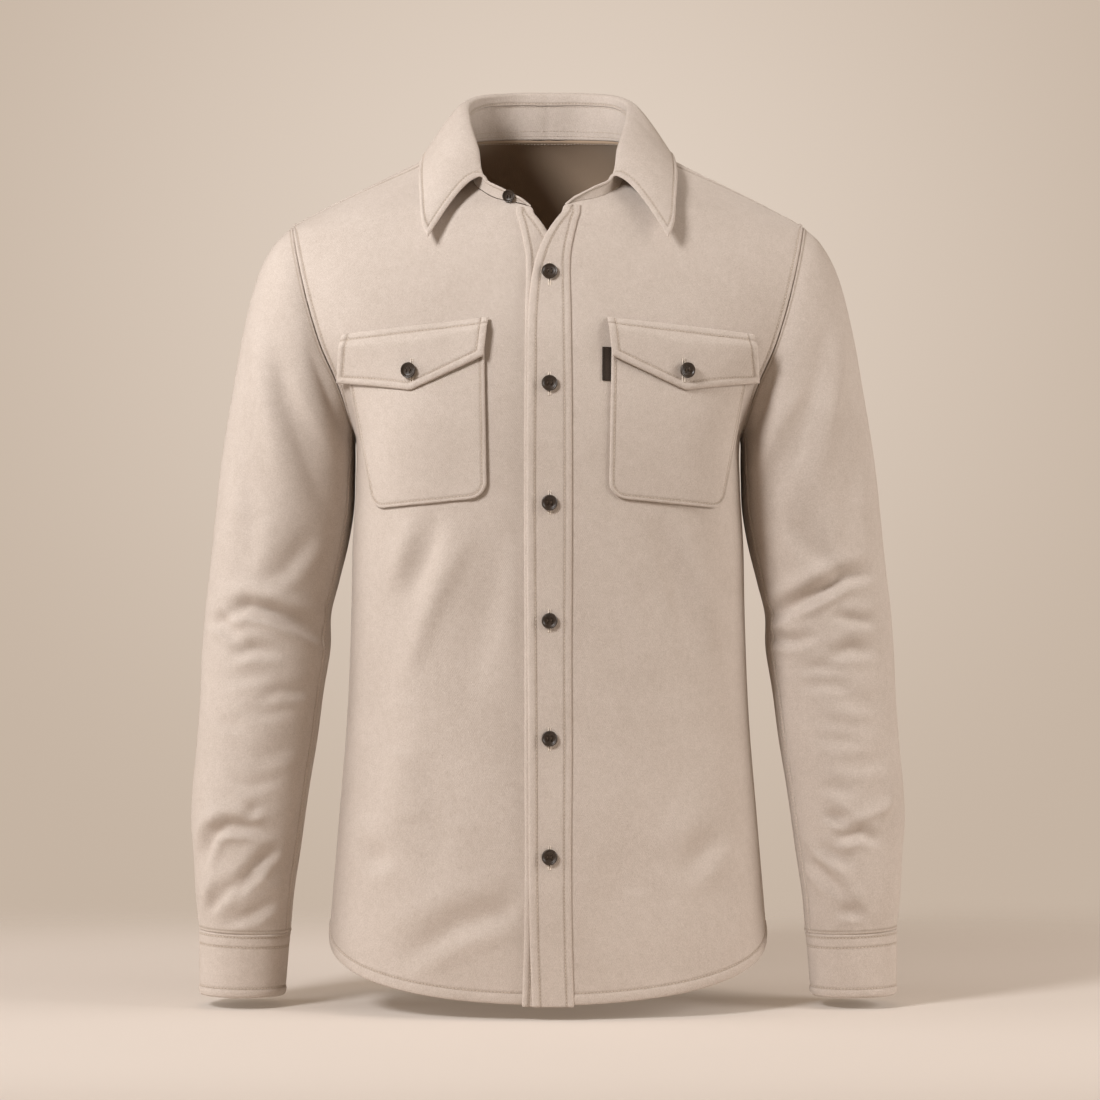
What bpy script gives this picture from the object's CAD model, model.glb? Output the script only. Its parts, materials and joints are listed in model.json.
# %% [markdown]
# # A brushed twill overshirt
#
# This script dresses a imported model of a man's overshirt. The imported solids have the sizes
# and the seams. Here each one is replaced by a thin shell of cloth on the same form, with
# finer rows of points, creases, puffed edges, sewn thread, turned buttons and a soft nap.
# Everything is in metres: +Z is up, the front faces -Y and +X is the wearer's left.

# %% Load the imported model
import json
import math

import bpy
import numpy as np
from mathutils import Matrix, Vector
from mathutils.bvhtree import BVHTree

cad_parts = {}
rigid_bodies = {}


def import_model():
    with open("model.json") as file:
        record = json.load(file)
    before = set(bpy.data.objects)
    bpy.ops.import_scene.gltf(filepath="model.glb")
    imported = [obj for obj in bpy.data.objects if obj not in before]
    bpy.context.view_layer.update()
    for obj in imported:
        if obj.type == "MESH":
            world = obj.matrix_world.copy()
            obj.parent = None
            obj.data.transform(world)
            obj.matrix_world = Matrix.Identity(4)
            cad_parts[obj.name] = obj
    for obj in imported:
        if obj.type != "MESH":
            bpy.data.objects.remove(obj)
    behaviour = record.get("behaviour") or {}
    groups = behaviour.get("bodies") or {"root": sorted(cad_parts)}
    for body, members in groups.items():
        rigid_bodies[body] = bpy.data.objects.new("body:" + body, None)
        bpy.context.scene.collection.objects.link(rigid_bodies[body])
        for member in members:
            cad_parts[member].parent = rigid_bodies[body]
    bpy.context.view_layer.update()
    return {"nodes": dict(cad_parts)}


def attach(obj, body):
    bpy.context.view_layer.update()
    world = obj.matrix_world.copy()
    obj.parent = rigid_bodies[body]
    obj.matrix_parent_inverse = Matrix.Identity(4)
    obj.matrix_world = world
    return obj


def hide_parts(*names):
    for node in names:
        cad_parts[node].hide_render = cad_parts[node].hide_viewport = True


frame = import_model()
print("solids to dress:", len(frame["nodes"]))

# %% [markdown]
# ## Camera
#
# The garment was photographed from far off, level with its middle, so that its sides look
# nearly parallel. A long lens 3.2 m away gives the same view.

# %% Camera
CAMERA_PLACE = (0.0018, -3.2, -0.3465)
LENS = 116.36
SENSOR_WIDTH = 36.0

camera_data = bpy.data.cameras.new("camera")
camera_data.lens = LENS
camera_data.sensor_width = SENSOR_WIDTH
camera = bpy.data.objects.new("camera", camera_data)
camera.location = CAMERA_PLACE
camera.rotation_euler = (math.radians(90), 0, 0)
bpy.context.scene.collection.objects.link(camera)
bpy.context.scene.camera = camera
bpy.context.scene.view_settings.view_transform = "Standard"
print("camera", CAMERA_PLACE, "lens", LENS)

# %% [markdown]
# ## Helpers for nodes
#
# The world, the floor and every finish are small trees of nodes. One helper adds a node:
# its settings come by name, and each input takes a value or is linked from a socket.


# %% Helpers for nodes
def set_inputs(tree, node, inputs):
    """Sets each input of a node to its value, or links it when a socket is given."""
    for name, value in inputs.items():
        if isinstance(value, bpy.types.NodeSocket):
            tree.links.new(value, node.inputs[name])
        else:
            node.inputs[name].default_value = value


def add_node(tree, kind, inputs=None, **settings):
    node = tree.nodes.new(kind)
    for name, value in settings.items():
        setattr(node, name, value)
    set_inputs(tree, node, inputs or {})
    return node


def mix_colours(tree, factor, first, second):
    inputs = {"Factor": factor, "A": first, "B": second}
    return add_node(tree, "ShaderNodeMix", inputs, data_type="RGBA").outputs["Result"]


def new_finish(name):
    """A new material, its tree of nodes and its shader."""
    made = bpy.data.materials.new(name)
    made.use_nodes = True
    return made, made.node_tree, made.node_tree.nodes["Principled BSDF"]


# %% [markdown]
# ## Studio
#
# Three round lights stand about the garment. The key is in front and above, at the viewer's
# left, with a narrow spread. The other two are larger, stand at the sides and open the
# shadows. The camera sees a glow of warm pale paper in the world, and the cloth is lit by
# a dimmer and warmer tone. The floor is a disc that glows a little and fades out before
# its rim, so no edge shows behind the garment.

# %% Lights and world
LIGHT_COLUMNS = ("name", "place", "aim", "size", "power", "colour", "spread")
LIGHTS = (
    ("key", (-1.60, -1.75, 1.15), (0, 0, -0.04), 0.8, 15.2, (1.0, 0.985, 0.985), 84),
    ("left_side", (-2.1, -0.1, 0.1), (0, 0, -0.35), 1.2, 16, (1.0, 0.98, 0.97), 180),
    ("right_side", (2.1, -0.6, 0.25), (0, 0, -0.35), 1.2, 29.5, (1.0, 0.96, 0.93), 180),
)
PAPER_MIDDLE = (0.745, 0.632, 0.535)
PAPER_EDGE = (0.560, 0.456, 0.366)
GLOW_DIRECTION = (0.0, 0.9965, 0.084)
GLOW_RADIUS = 0.225
ROOM_LIGHT = (0.225, 0.168, 0.118)


def add_area_light(name, place, aim, size, power, colour, spread):
    data = bpy.data.lights.new(name, "AREA")
    data.spread = math.radians(spread)
    data.shape = "DISK"
    data.size = size
    data.energy = power
    data.color = colour
    light = bpy.data.objects.new(name, data)
    light.location = place
    light.rotation_euler = (Vector(aim) - Vector(place)).to_track_quat("-Z", "Y").to_euler()
    bpy.context.scene.collection.objects.link(light)


for row in LIGHTS:
    add_area_light(**dict(zip(LIGHT_COLUMNS, row)))

world = bpy.data.worlds.new("paper")
bpy.context.scene.world = world
world.use_nodes = True
sky = world.node_tree
direction = add_node(sky, "ShaderNodeTexCoord").outputs["Generated"]
off_middle = add_node(sky, "ShaderNodeVectorMath", {0: direction, 1: GLOW_DIRECTION}, operation="DISTANCE")
glow = add_node(
    sky,
    "ShaderNodeMapRange",
    {"Value": off_middle.outputs["Value"], "From Max": GLOW_RADIUS},
    interpolation_type="SMOOTHSTEP",
)
paper = mix_colours(sky, glow.outputs["Result"], (*PAPER_MIDDLE, 1), (*PAPER_EDGE, 1))
by_camera = add_node(sky, "ShaderNodeLightPath").outputs["Is Camera Ray"]
seen = mix_colours(sky, by_camera, (*ROOM_LIGHT, 1), paper)
set_inputs(sky, sky.nodes["Background"], {"Color": seen})

# %% Floor
FLOOR_Z = -0.7535
FLOOR_RADIUS = 2.4
FLOOR_SIDES = 96
FLOOR_COLOUR = (0.60, 0.553, 0.515)
FLOOR_GLOW_COLOUR = (1.0, 0.78, 0.60)
FLOOR_GLOW = 0.19
# The fade is measured in metres front to back, and reaches farther out to both sides.
FADE_SCALE = (0.45, 1, 1)
FADE_START = 0.35
FADE_END = 1.05


def floor_material():
    made, tree, shader = new_finish("pale_floor")
    place = add_node(tree, "ShaderNodeTexCoord").outputs["Object"]
    wide = add_node(tree, "ShaderNodeMapping", {"Vector": place, "Scale": FADE_SCALE}).outputs["Vector"]
    away = add_node(tree, "ShaderNodeVectorMath", {0: wide}, operation="LENGTH").outputs["Value"]
    fade = add_node(
        tree,
        "ShaderNodeMapRange",
        {"Value": away, "From Min": FADE_START, "From Max": FADE_END, "To Min": 1.0, "To Max": 0.0},
        interpolation_type="SMOOTHERSTEP",
    )
    values = {
        "Base Color": (*FLOOR_COLOUR, 1),
        "Emission Color": (*FLOOR_GLOW_COLOUR, 1),
        "Emission Strength": FLOOR_GLOW,
        "Roughness": 0.9,
        "Specular IOR Level": 0.1,
        "Alpha": fade.outputs["Result"],
    }
    set_inputs(tree, shader, values)
    return made


turns = np.linspace(0, 2 * math.pi, FLOOR_SIDES, endpoint=False)
floor_rim = [(FLOOR_RADIUS * math.cos(a), FLOOR_RADIUS * math.sin(a), 0) for a in turns]
floor_mesh = bpy.data.meshes.new("floor")
floor_mesh.from_pydata(floor_rim, [], [range(FLOOR_SIDES)])
floor_mesh.materials.append(floor_material())
floor = bpy.data.objects.new("floor", floor_mesh)
floor.location = (0, 0, FLOOR_Z)
bpy.context.scene.collection.objects.link(floor)

# %% [markdown]
# ## The body's form
#
# A pattern maker thinks of a garment as sections: how wide and how deep it is at the hem,
# the waist and the chest. Each row below is one such section, and a smooth curve through
# the rows gives every height between them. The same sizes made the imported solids, so the
# plain cloth lies where they do.

# %% Sizes of cloth and seams
CLOTH = 0.0012
BAND = 0.0014
COLLAR_CLOTH = 0.0018
CUFF_CLOTH = 0.0018
LAYER_GAP = 0.0003
SEAM_GAP = 0.00012

NECK_POINT_X = 0.078
SHOULDER_TIP_Z = -0.0566
UNDERARM_Z = -0.2450
YOKE_SEAM_Z = -0.1050
FRONT_HEM_Z = -0.7395
FRONT_HEM_RISE = 0.0525
BACK_HEM_Z = -0.7480
HEM_CURVE = 2.5

ARMHOLE_Z = -0.1505
ARMHOLE_HALF_HEIGHT = 0.0945
ARMHOLE_HALF_DEPTH = 0.0680
SHOULDER_TIP_TURN = math.acos((SHOULDER_TIP_Z - ARMHOLE_Z) / ARMHOLE_HALF_HEIGHT)
SHOULDER_TIP_FORWARD = ARMHOLE_HALF_DEPTH * math.sin(SHOULDER_TIP_TURN)

# %% Tables of the body
TORSO_COLUMNS = ("z", "half_width", "front", "back", "squareness")
TORSO = (
    (-0.760, 0.2010, 0.1270, 0.1250, 2.35),
    (-0.688, 0.1960, 0.1260, 0.1220, 2.35),
    (-0.598, 0.1886, 0.1215, 0.1150, 2.35),
    (-0.490, 0.1800, 0.1175, 0.1060, 2.35),
    (-0.400, 0.1765, 0.1185, 0.1030, 2.45),
    (-0.340, 0.1752, 0.1225, 0.1080, 2.55),
    (-0.290, 0.1722, 0.1265, 0.1140, 2.70),
    (-0.245, 0.1725, 0.1290, 0.1190, 2.80),
    (-0.200, 0.1860, 0.1290, 0.1240, 2.30),
    (-0.150, 0.2050, 0.1235, 0.1255, 2.10),
    (-0.100, 0.2180, 0.1120, 0.1215, 2.00),
    (-0.070, 0.2260, 0.1025, 0.1150, 1.82),
    (-0.041, 0.2300, 0.0890, 0.1060, 1.68),
    (-0.031, 0.2300, 0.0800, 0.1030, 1.64),
    (-0.010, 0.2300, 0.0580, 0.0960, 1.60),
    (0.004, 0.2300, 0.0440, 0.0920, 1.60),
    (0.018, 0.2300, 0.0300, 0.0900, 1.60),
)
ARMHOLE_COLUMNS = ("z", "x")
ARMHOLE = (
    (-0.2455, 0.1725),
    (-0.2376, 0.1746),
    (-0.2025, 0.1850),
    (-0.1660, 0.2005),
    (-0.1305, 0.2115),
    (-0.0945, 0.2205),
    (-0.0560, 0.2290),
)
SHOULDER_COLUMNS = ("x", "z", "forward")
SHOULDER = (
    (0.0780, 0.0160, 0.0220),
    (0.1110, -0.0010, 0.0195),
    (0.1600, -0.0225, 0.0150),
    (0.2000, -0.0415, 0.0108),
    (0.2290, SHOULDER_TIP_Z, SHOULDER_TIP_FORWARD),
)
RIDGE_COLUMNS = ("x", "z")
RIDGE = (
    (0.0000, 0.0560),
    (0.0340, 0.0490),
    (0.0600, 0.0345),
    (0.0780, 0.0218),
    (0.1110, 0.0054),
    (0.1600, -0.0195),
    (0.2000, -0.0395),
    (0.2290, -0.0553),
)
YOKE_FRONT_DEPTH = 0.060
YOKE_SQUARENESS_BACK = 2.2
YOKE_SQUARENESS_ARM = 1.6
YOKE_LEAST_COLUMN = 0.072
YOKE_PULL = 5
FRONT_EDGE_COLUMNS = ("z", "free", "sewn")
FRONT_EDGE = (
    (-0.760, -0.0122, 0.0226),
    (-0.700, -0.0145, 0.0205),
    (-0.500, -0.0165, 0.0198),
    (-0.200, -0.0172, 0.0198),
    (-0.130, -0.0156, 0.0190),
    (-0.108, -0.0130, 0.0184),
    (-0.088, -0.0080, 0.0192),
    (-0.0705, 0.0000, 0.0226),
    (-0.0545, 0.0115, 0.0270),
    (-0.0440, 0.0225, 0.0325),
    (-0.0400, 0.0400, 0.0450),
    (-0.0310, 0.0575, 0.0600),
    (-0.0100, 0.0690, 0.0700),
    (0.0050, 0.0745, 0.0750),
    (0.0160, 0.0780, 0.0785),
)
BAND_TOP_Z = -0.0475
BAND_BELOW_HEM = 0.0012
UNDER_BAND_OUT = 0.0004
LEFT_FRONT_OUT = 2 * LAYER_GAP + BAND + LAYER_GAP + CLOTH
LIFT_FULL_X = 0.024
LIFT_NONE_X = 0.085


# %% Smooth curves through a table
FAR_OFF = 1e9
CURVE_POINTS = 90


def smooth(rows, columns, name, over):
    """A smooth function of column `over` that passes through column `name` in every row."""
    xs = np.array([row[columns.index(over)] for row in rows])
    ys = np.array([row[columns.index(name)] for row in rows])
    slopes = np.gradient(ys, xs)

    def value(at):
        at = np.clip(np.asarray(at, float), xs[0], xs[-1])
        i = np.clip(np.searchsorted(xs, at) - 1, 0, len(xs) - 2)
        step = xs[i + 1] - xs[i]
        t = (at - xs[i]) / step
        left = (1 + 2 * t) * (1 - t) ** 2 * ys[i] + t * (1 - t) ** 2 * step * slopes[i]
        right = t * t * (3 - 2 * t) * ys[i + 1] + t * t * (t - 1) * step * slopes[i + 1]
        return left + right

    return value


def ease(t):
    t = np.clip(t, 0.0, 1.0)
    return t * t * (3 - 2 * t)


def unit(vectors):
    return vectors / np.maximum(np.linalg.norm(vectors, axis=-1, keepdims=True), 1e-12)


half_width = smooth(TORSO, TORSO_COLUMNS, "half_width", "z")
front_depth = smooth(TORSO, TORSO_COLUMNS, "front", "z")
back_depth = smooth(TORSO, TORSO_COLUMNS, "back", "z")
squareness = smooth(TORSO, TORSO_COLUMNS, "squareness", "z")
armhole_x = smooth(ARMHOLE, ARMHOLE_COLUMNS, "x", "z")
shoulder_z = smooth(SHOULDER, SHOULDER_COLUMNS, "z", "x")
shoulder_forward = smooth(SHOULDER, SHOULDER_COLUMNS, "forward", "x")
shoulder_x = smooth(SHOULDER[::-1], SHOULDER_COLUMNS, "x", "z")
free_edge_x = smooth(FRONT_EDGE, FRONT_EDGE_COLUMNS, "free", "z")
sewn_edge_x = smooth(FRONT_EDGE, FRONT_EDGE_COLUMNS, "sewn", "z")
ridge_z = smooth(RIDGE, RIDGE_COLUMNS, "z", "x")
print("half width at the chest:", round(float(half_width(-0.2)), 4))


# %% Sections of the body
def armhole(angle):
    """Point of the left armhole: 0 at the shoulder, 90 degrees in front, 180 underarm."""
    z = ARMHOLE_Z + ARMHOLE_HALF_HEIGHT * np.cos(angle)
    y = -ARMHOLE_HALF_DEPTH * np.sin(angle)
    return np.stack([armhole_x(z), y, z], -1)


def armhole_angle(z):
    return np.arccos(np.clip((z - ARMHOLE_Z) / ARMHOLE_HALF_HEIGHT, -1, 1))


def section_edge(z):
    """Width and depth at which a section ends: side seam, armhole or shoulder seam."""
    z = np.asarray(z, float)
    shoulder = shoulder_x(z)
    low, middle = z <= UNDERARM_Z, z < SHOULDER_TIP_Z
    width = np.where(low, half_width(z), np.where(middle, armhole_x(z), shoulder))
    loop = ARMHOLE_HALF_DEPTH * np.sin(armhole_angle(z))
    depth = np.where(low, 0.0, np.where(middle, loop, shoulder_forward(shoulder)))
    return width, depth


def section_depth(x, z, middle):
    """Depth of the form at x on the section at height z, with depth `middle` at x = 0."""
    power = squareness(z)
    edge, edge_depth = section_edge(z)
    full = edge / (1 - (edge_depth / middle) ** power) ** (1 / power)
    share = np.clip(np.abs(x) / full, 0, 1)
    return middle * (1 - share**power) ** (1 / power)


def spread_evenly(curve, shares):
    """Points at the given shares of the curve's length."""
    steps = np.linalg.norm(np.diff(curve, axis=0), axis=1)
    along = np.concatenate([[0], np.cumsum(steps)]) / steps.sum()
    return np.stack([np.interp(shares, along, curve[:, i]) for i in range(3)], -1)


SECTION_TURNS = np.linspace(0, math.pi / 2, 240)


def section_points(z, shares, start, side):
    """Points at shares of the section at height z, from x = start to the panel's edge."""
    edge, edge_depth = section_edge(z)
    x = start + (edge - start) * np.sin(SECTION_TURNS)
    middle = front_depth(z) if side < 0 else back_depth(z)
    y = side * section_depth(x, z, middle)
    y[-1] = side * edge_depth
    return spread_evenly(np.stack([x, y, np.full_like(x, z)], -1), shares)


# %% [markdown]
# ## Creases
#
# Cloth that has been worn keeps soft troughs at the elbows and the waist, many with a
# low ridge beside them. They could come from a cloth simulation, but then nobody could say
# where a crease lies. Here each one is a short line of points, seen from the front, with
# its depth and width, placed by hand. No two are alike, and all fade at their ends.
# A crease with a depth below zero is a ridge. x is the distance from the centre front,
# towards the side that the table is for.

# %% Table of creases
CREASE_COLUMNS = ("line", "depth", "width", "lip")
SLEEVE_CREASES = {
    ("left", -1): (
        (((0.197, -0.408), (0.237, -0.386), (0.261, -0.372), (0.290, -0.366)), 0.0060, 0.0062, 0.45),
        (((0.193, -0.424), (0.218, -0.429), (0.238, -0.422)), 0.0036, 0.0050, 0.40),
        (((0.252, -0.405), (0.274, -0.410), (0.292, -0.412)), 0.0030, 0.0046, 0.35),
        (((0.246, -0.443), (0.268, -0.435), (0.290, -0.438)), 0.0034, 0.0056, 0.40),
        (((0.222, -0.452), (0.249, -0.451), (0.265, -0.453)), 0.0022, 0.0046, 0.30),
        (((0.250, -0.479), (0.296, -0.486)), 0.0013, 0.0070, 0.50),
        (((0.232, -0.512), (0.284, -0.517)), 0.0012, 0.0075, 0.50),
        (((0.258, -0.538), (0.302, -0.534)), 0.0012, 0.0070, 0.50),
        (((0.245, -0.580), (0.267, -0.589)), 0.0034, 0.0050, 0.45),
        (((0.253, -0.604), (0.276, -0.597), (0.292, -0.606)), 0.0036, 0.0050, 0.45),
        (((0.239, -0.609), (0.266, -0.625)), 0.0030, 0.0050, 0.45),
        (((0.232, -0.622), (0.259, -0.651)), 0.0032, 0.0056, 0.45),
        (((0.255, -0.665), (0.279, -0.669)), 0.0022, 0.0050, 0.35),
        (((0.274, -0.585), (0.309, -0.572)), -0.0024, 0.0055, 0.0),
        (((0.222, -0.596), (0.292, -0.674)), -0.0018, 0.0060, 0.0),
        (((0.264, -0.140), (0.256, -0.200), (0.244, -0.262), (0.226, -0.315)), -0.0024, 0.0100, 0.0),
        (((0.246, -0.150), (0.236, -0.210), (0.220, -0.258), (0.200, -0.300)), 0.0030, 0.0100, 0.20),
        (((0.228, -0.195), (0.204, -0.240), (0.185, -0.285)), -0.0028, 0.0085, 0.0),
        (((0.208, -0.170), (0.192, -0.210), (0.180, -0.250)), 0.0028, 0.0080, 0.10),
        (((0.280, -0.250), (0.266, -0.310), (0.268, -0.350)), 0.0018, 0.0110, 0.30),
        (((0.212, -0.320), (0.236, -0.352), (0.262, -0.366)), 0.0022, 0.0080, 0.40),
        (((0.222, -0.468), (0.250, -0.466), (0.272, -0.470)), 0.0013, 0.0055, 0.50),
        (((0.228, -0.496), (0.262, -0.500), (0.288, -0.502)), 0.0012, 0.0060, 0.50),
        (((0.240, -0.556), (0.268, -0.560)), 0.0013, 0.0055, 0.50),
        (((0.298, -0.540), (0.304, -0.566), (0.296, -0.590)), -0.0018, 0.0060, 0.0),
    ),
    ("right", -1): (
        (
            ((0.292, -0.407), (0.266, -0.397), (0.243, -0.403), (0.220, -0.414), (0.199, -0.428)),
            0.0064, 0.0060, 0.45,
        ),
        (((0.306, -0.411), (0.290, -0.412), (0.273, -0.427)), 0.0036, 0.0050, 0.40),
        (((0.282, -0.441), (0.260, -0.435), (0.238, -0.439)), 0.0034, 0.0055, 0.40),
        (((0.255, -0.478), (0.238, -0.472), (0.214, -0.475)), 0.0024, 0.0055, 0.40),
        (((0.291, -0.499), (0.269, -0.505)), 0.0013, 0.0060, 0.40),
        (((0.268, -0.581), (0.254, -0.574)), 0.0026, 0.0048, 0.40),
        (
            ((0.308, -0.627), (0.297, -0.599), (0.283, -0.591), (0.261, -0.593), (0.246, -0.599)),
            0.0046, 0.0054, 0.55,
        ),
        (((0.277, -0.652), (0.265, -0.637), (0.253, -0.622), (0.239, -0.610)), 0.0036, 0.0052, 0.45),
        (((0.302, -0.668), (0.287, -0.650), (0.273, -0.636)), 0.0026, 0.0056, 0.35),
        (((0.288, -0.677), (0.262, -0.670), (0.240, -0.656)), 0.0024, 0.0060, 0.35),
        (((0.306, -0.671), (0.297, -0.631)), -0.0020, 0.0050, 0.0),
        (((0.263, -0.130), (0.254, -0.207), (0.238, -0.268), (0.222, -0.305)), -0.0026, 0.0100, 0.0),
        (((0.243, -0.160), (0.232, -0.215), (0.214, -0.262), (0.197, -0.310)), 0.0030, 0.0100, 0.20),
        (((0.226, -0.190), (0.198, -0.245), (0.182, -0.280)), -0.0026, 0.0085, 0.0),
        (((0.210, -0.165), (0.190, -0.215), (0.180, -0.245)), 0.0030, 0.0080, 0.10),
        (((0.275, -0.240), (0.262, -0.320), (0.270, -0.380)), 0.0020, 0.0110, 0.30),
        (((0.206, -0.330), (0.232, -0.365), (0.258, -0.378)), 0.0020, 0.0080, 0.40),
        (((0.222, -0.462), (0.262, -0.458), (0.292, -0.466)), 0.0011, 0.0060, 0.50),
        (((0.226, -0.489), (0.250, -0.492), (0.270, -0.488)), 0.0011, 0.0055, 0.50),
        (((0.236, -0.548), (0.262, -0.556), (0.284, -0.549)), 0.0013, 0.0060, 0.50),
        (((0.300, -0.560), (0.296, -0.585), (0.280, -0.600)), -0.0020, 0.0060, 0.0),
        (((0.232, -0.655), (0.252, -0.640), (0.262, -0.622)), -0.0022, 0.0050, 0.0),
        (((0.224, -0.520), (0.262, -0.536)), 0.0013, 0.0080, 0.40),
    ),
    ("left", 1): (
        (((0.200, -0.395), (0.250, -0.388), (0.300, -0.372)), 0.0056, 0.0075, 0.45),
        (((0.205, -0.432), (0.255, -0.425), (0.300, -0.410)), 0.0042, 0.0070, 0.45),
        (((0.215, -0.462), (0.285, -0.455)), 0.0022, 0.0075, 0.40),
        (((0.222, -0.580), (0.262, -0.598), (0.305, -0.604)), 0.0042, 0.0075, 0.50),
        (((0.232, -0.620), (0.292, -0.634)), 0.0030, 0.0065, 0.50),
        (((0.255, -0.160), (0.242, -0.240), (0.250, -0.320)), 0.0022, 0.0130, 0.30),
    ),
    ("right", 1): (
        (((0.198, -0.400), (0.246, -0.384), (0.296, -0.380)), 0.0056, 0.0075, 0.45),
        (((0.208, -0.440), (0.252, -0.424), (0.298, -0.418)), 0.0040, 0.0070, 0.45),
        (((0.222, -0.586), (0.268, -0.592), (0.302, -0.612)), 0.0042, 0.0075, 0.50),
        (((0.236, -0.626), (0.290, -0.642)), 0.0028, 0.0065, 0.50),
        (((0.250, -0.170), (0.240, -0.250), (0.254, -0.330)), 0.0022, 0.0130, 0.30),
    ),
}
BODY_CREASES = {
    ("right", -1): (
        (((0.132, -0.706), (0.078, -0.673), (0.038, -0.660), (0.018, -0.636)), 0.0040, 0.0110, 0.35),
        (((0.164, -0.625), (0.138, -0.608)), 0.0034, 0.0110, 0.40),
        (((0.119, -0.320), (0.127, -0.352), (0.137, -0.382)), -0.0022, 0.0085, 0.0),
        (((0.068, -0.328), (0.090, -0.373), (0.106, -0.410), (0.124, -0.460)), -0.0034, 0.0100, 0.0),
        (((0.094, -0.312), (0.106, -0.355), (0.122, -0.392)), 0.0026, 0.0090, 0.20),
        (((0.040, -0.330), (0.052, -0.400), (0.070, -0.480)), 0.0020, 0.0150, 0.20),
        (((0.155, -0.430), (0.150, -0.520), (0.160, -0.600)), 0.0020, 0.0160, 0.30),
        (((0.108, -0.500), (0.096, -0.580), (0.104, -0.650)), 0.0016, 0.0180, 0.30),
    ),
    ("left", -1): (
        (((0.150, -0.593), (0.116, -0.633)), 0.0034, 0.0120, 0.40),
        (((0.112, -0.320), (0.130, -0.370), (0.150, -0.430)), -0.0030, 0.0110, 0.0),
        (((0.092, -0.318), (0.112, -0.380), (0.128, -0.440)), 0.0026, 0.0100, 0.20),
        (((0.060, -0.320), (0.074, -0.400), (0.090, -0.470)), -0.0018, 0.0120, 0.0),
        (((0.120, -0.520), (0.100, -0.600), (0.090, -0.680)), 0.0020, 0.0180, 0.30),
        (((0.052, -0.560), (0.060, -0.640), (0.052, -0.700)), 0.0016, 0.0160, 0.30),
    ),
    ("back", 1): (
        (((0.020, -0.330), (0.040, -0.480), (0.060, -0.640)), 0.0040, 0.0200, 0.30),
        (((0.150, -0.300), (0.130, -0.350), (0.105, -0.420)), 0.0038, 0.0140, 0.35),
        (((-0.145, -0.290), (-0.128, -0.350), (-0.100, -0.440)), 0.0036, 0.0140, 0.35),
        (((-0.060, -0.360), (-0.048, -0.500), (-0.072, -0.650)), 0.0034, 0.0200, 0.30),
        (((0.120, -0.560), (0.100, -0.640), (0.112, -0.710)), 0.0026, 0.0180, 0.30),
        (((-0.135, -0.580), (-0.120, -0.650), (-0.128, -0.700)), 0.0026, 0.0170, 0.30),
    ),
}


# %% How far the creases push the cloth in
LIP_PLACE = 1.9
CREASE_END = 0.12
GENTLE_SIDE = 1.30
STEEP_SIDE = 0.80
CREASE_STRENGTH = 1.4


def crease_shift(x, z, table):
    """How far the creases of a table push the cloth in, at x and z seen from the front."""
    x, z = np.broadcast_arrays(x, z)
    shift = np.zeros(x.shape)
    for row in table:
        crease = dict(zip(CREASE_COLUMNS, row))
        line = np.array(crease["line"])
        runs = np.diff(line, axis=0)
        lengths = np.linalg.norm(runs, axis=1)
        starts = np.concatenate([[0], np.cumsum(lengths)])
        best = np.full(x.shape, FAR_OFF)
        place = np.zeros(x.shape)
        above = np.zeros(x.shape, bool)
        for start, run, length, before in zip(line, runs, lengths, starts):
            t = np.clip(((x - start[0]) * run[0] + (z - start[1]) * run[1]) / length**2, 0, 1)
            away = np.hypot(x - start[0] - t * run[0], z - start[1] - t * run[1])
            upward = np.array((-run[1], run[0])) * (1 if run[0] > 0 else -1)
            nearer = away < best
            above = np.where(nearer, (x - start[0]) * upward[0] + (z - start[1]) * upward[1] > 0, above)
            best = np.where(nearer, away, best)
            place = np.where(nearer, (before + t * length) / starts[-1], place)
        across = best / (crease["width"] * np.where(above, GENTLE_SIDE, STEEP_SIDE))
        shape = np.exp(-(across**2)) - crease["lip"] * np.exp(-((across - LIP_PLACE) ** 2))
        fade = CREASE_END + (1 - CREASE_END) * np.sin(np.pi * place)
        end_fade = np.where(np.minimum(place, 1 - place) <= 0, np.exp(-(across**2)), 1)
        shift += CREASE_STRENGTH * crease["depth"] * shape * fade * end_fade
    return shift


RIPPLE_COLUMNS = ("across", "along", "start", "share")
RIPPLES = ((31.0, 9.0, 0.4, 0.45), (-17.0, 23.0, 2.1, 0.35), (58.0, -41.0, 4.0, 0.20))


def ripple(a, b):
    """A gentle unevenness between -1 and 1 over a cloth, by two lengths in metres."""
    total = np.zeros(np.broadcast(a, b).shape)
    for row in RIPPLES:
        wave = dict(zip(RIPPLE_COLUMNS, row))
        total = total + wave["share"] * np.sin(wave["across"] * a + wave["along"] * b + wave["start"])
    return total


# %% [markdown]
# ## Panels
#
# A panel is a grid of points on the form. Rows and columns lie up to 4.2 mm apart in the
# open cloth and 1.2 mm apart beside an edge, because that is where stitching draws the
# cloth down and lets it puff up. Each panel keeps its points, its normals, its relief and
# how dark a seam makes it.

# %% Rows and columns, closer together beside the edges
FINE_STEP = 0.0012
PLAIN_STEP = 0.0042
EDGE_BAND = 0.012


def cut_lines(length, at_start=True, at_end=True, plain=PLAIN_STEP, band=EDGE_BAND):
    """Shares of a length where the grid lines go, closest beside a sewn edge."""
    places = [0.0]
    while places[-1] < length:
        here = places[-1]
        beside = min(here if at_start else length, length - here if at_end else length)
        step = FINE_STEP + (plain - FINE_STEP) * float(ease((beside - band) / band))
        places.append(here + step)
    return np.array(places) / places[-1]


def across_length(grid):
    """How far every point lies from the first column, over the cloth."""
    steps = np.linalg.norm(np.diff(grid, axis=1), axis=-1)
    return np.concatenate([np.zeros((len(grid), 1)), np.cumsum(steps, axis=1)], axis=1)


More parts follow.
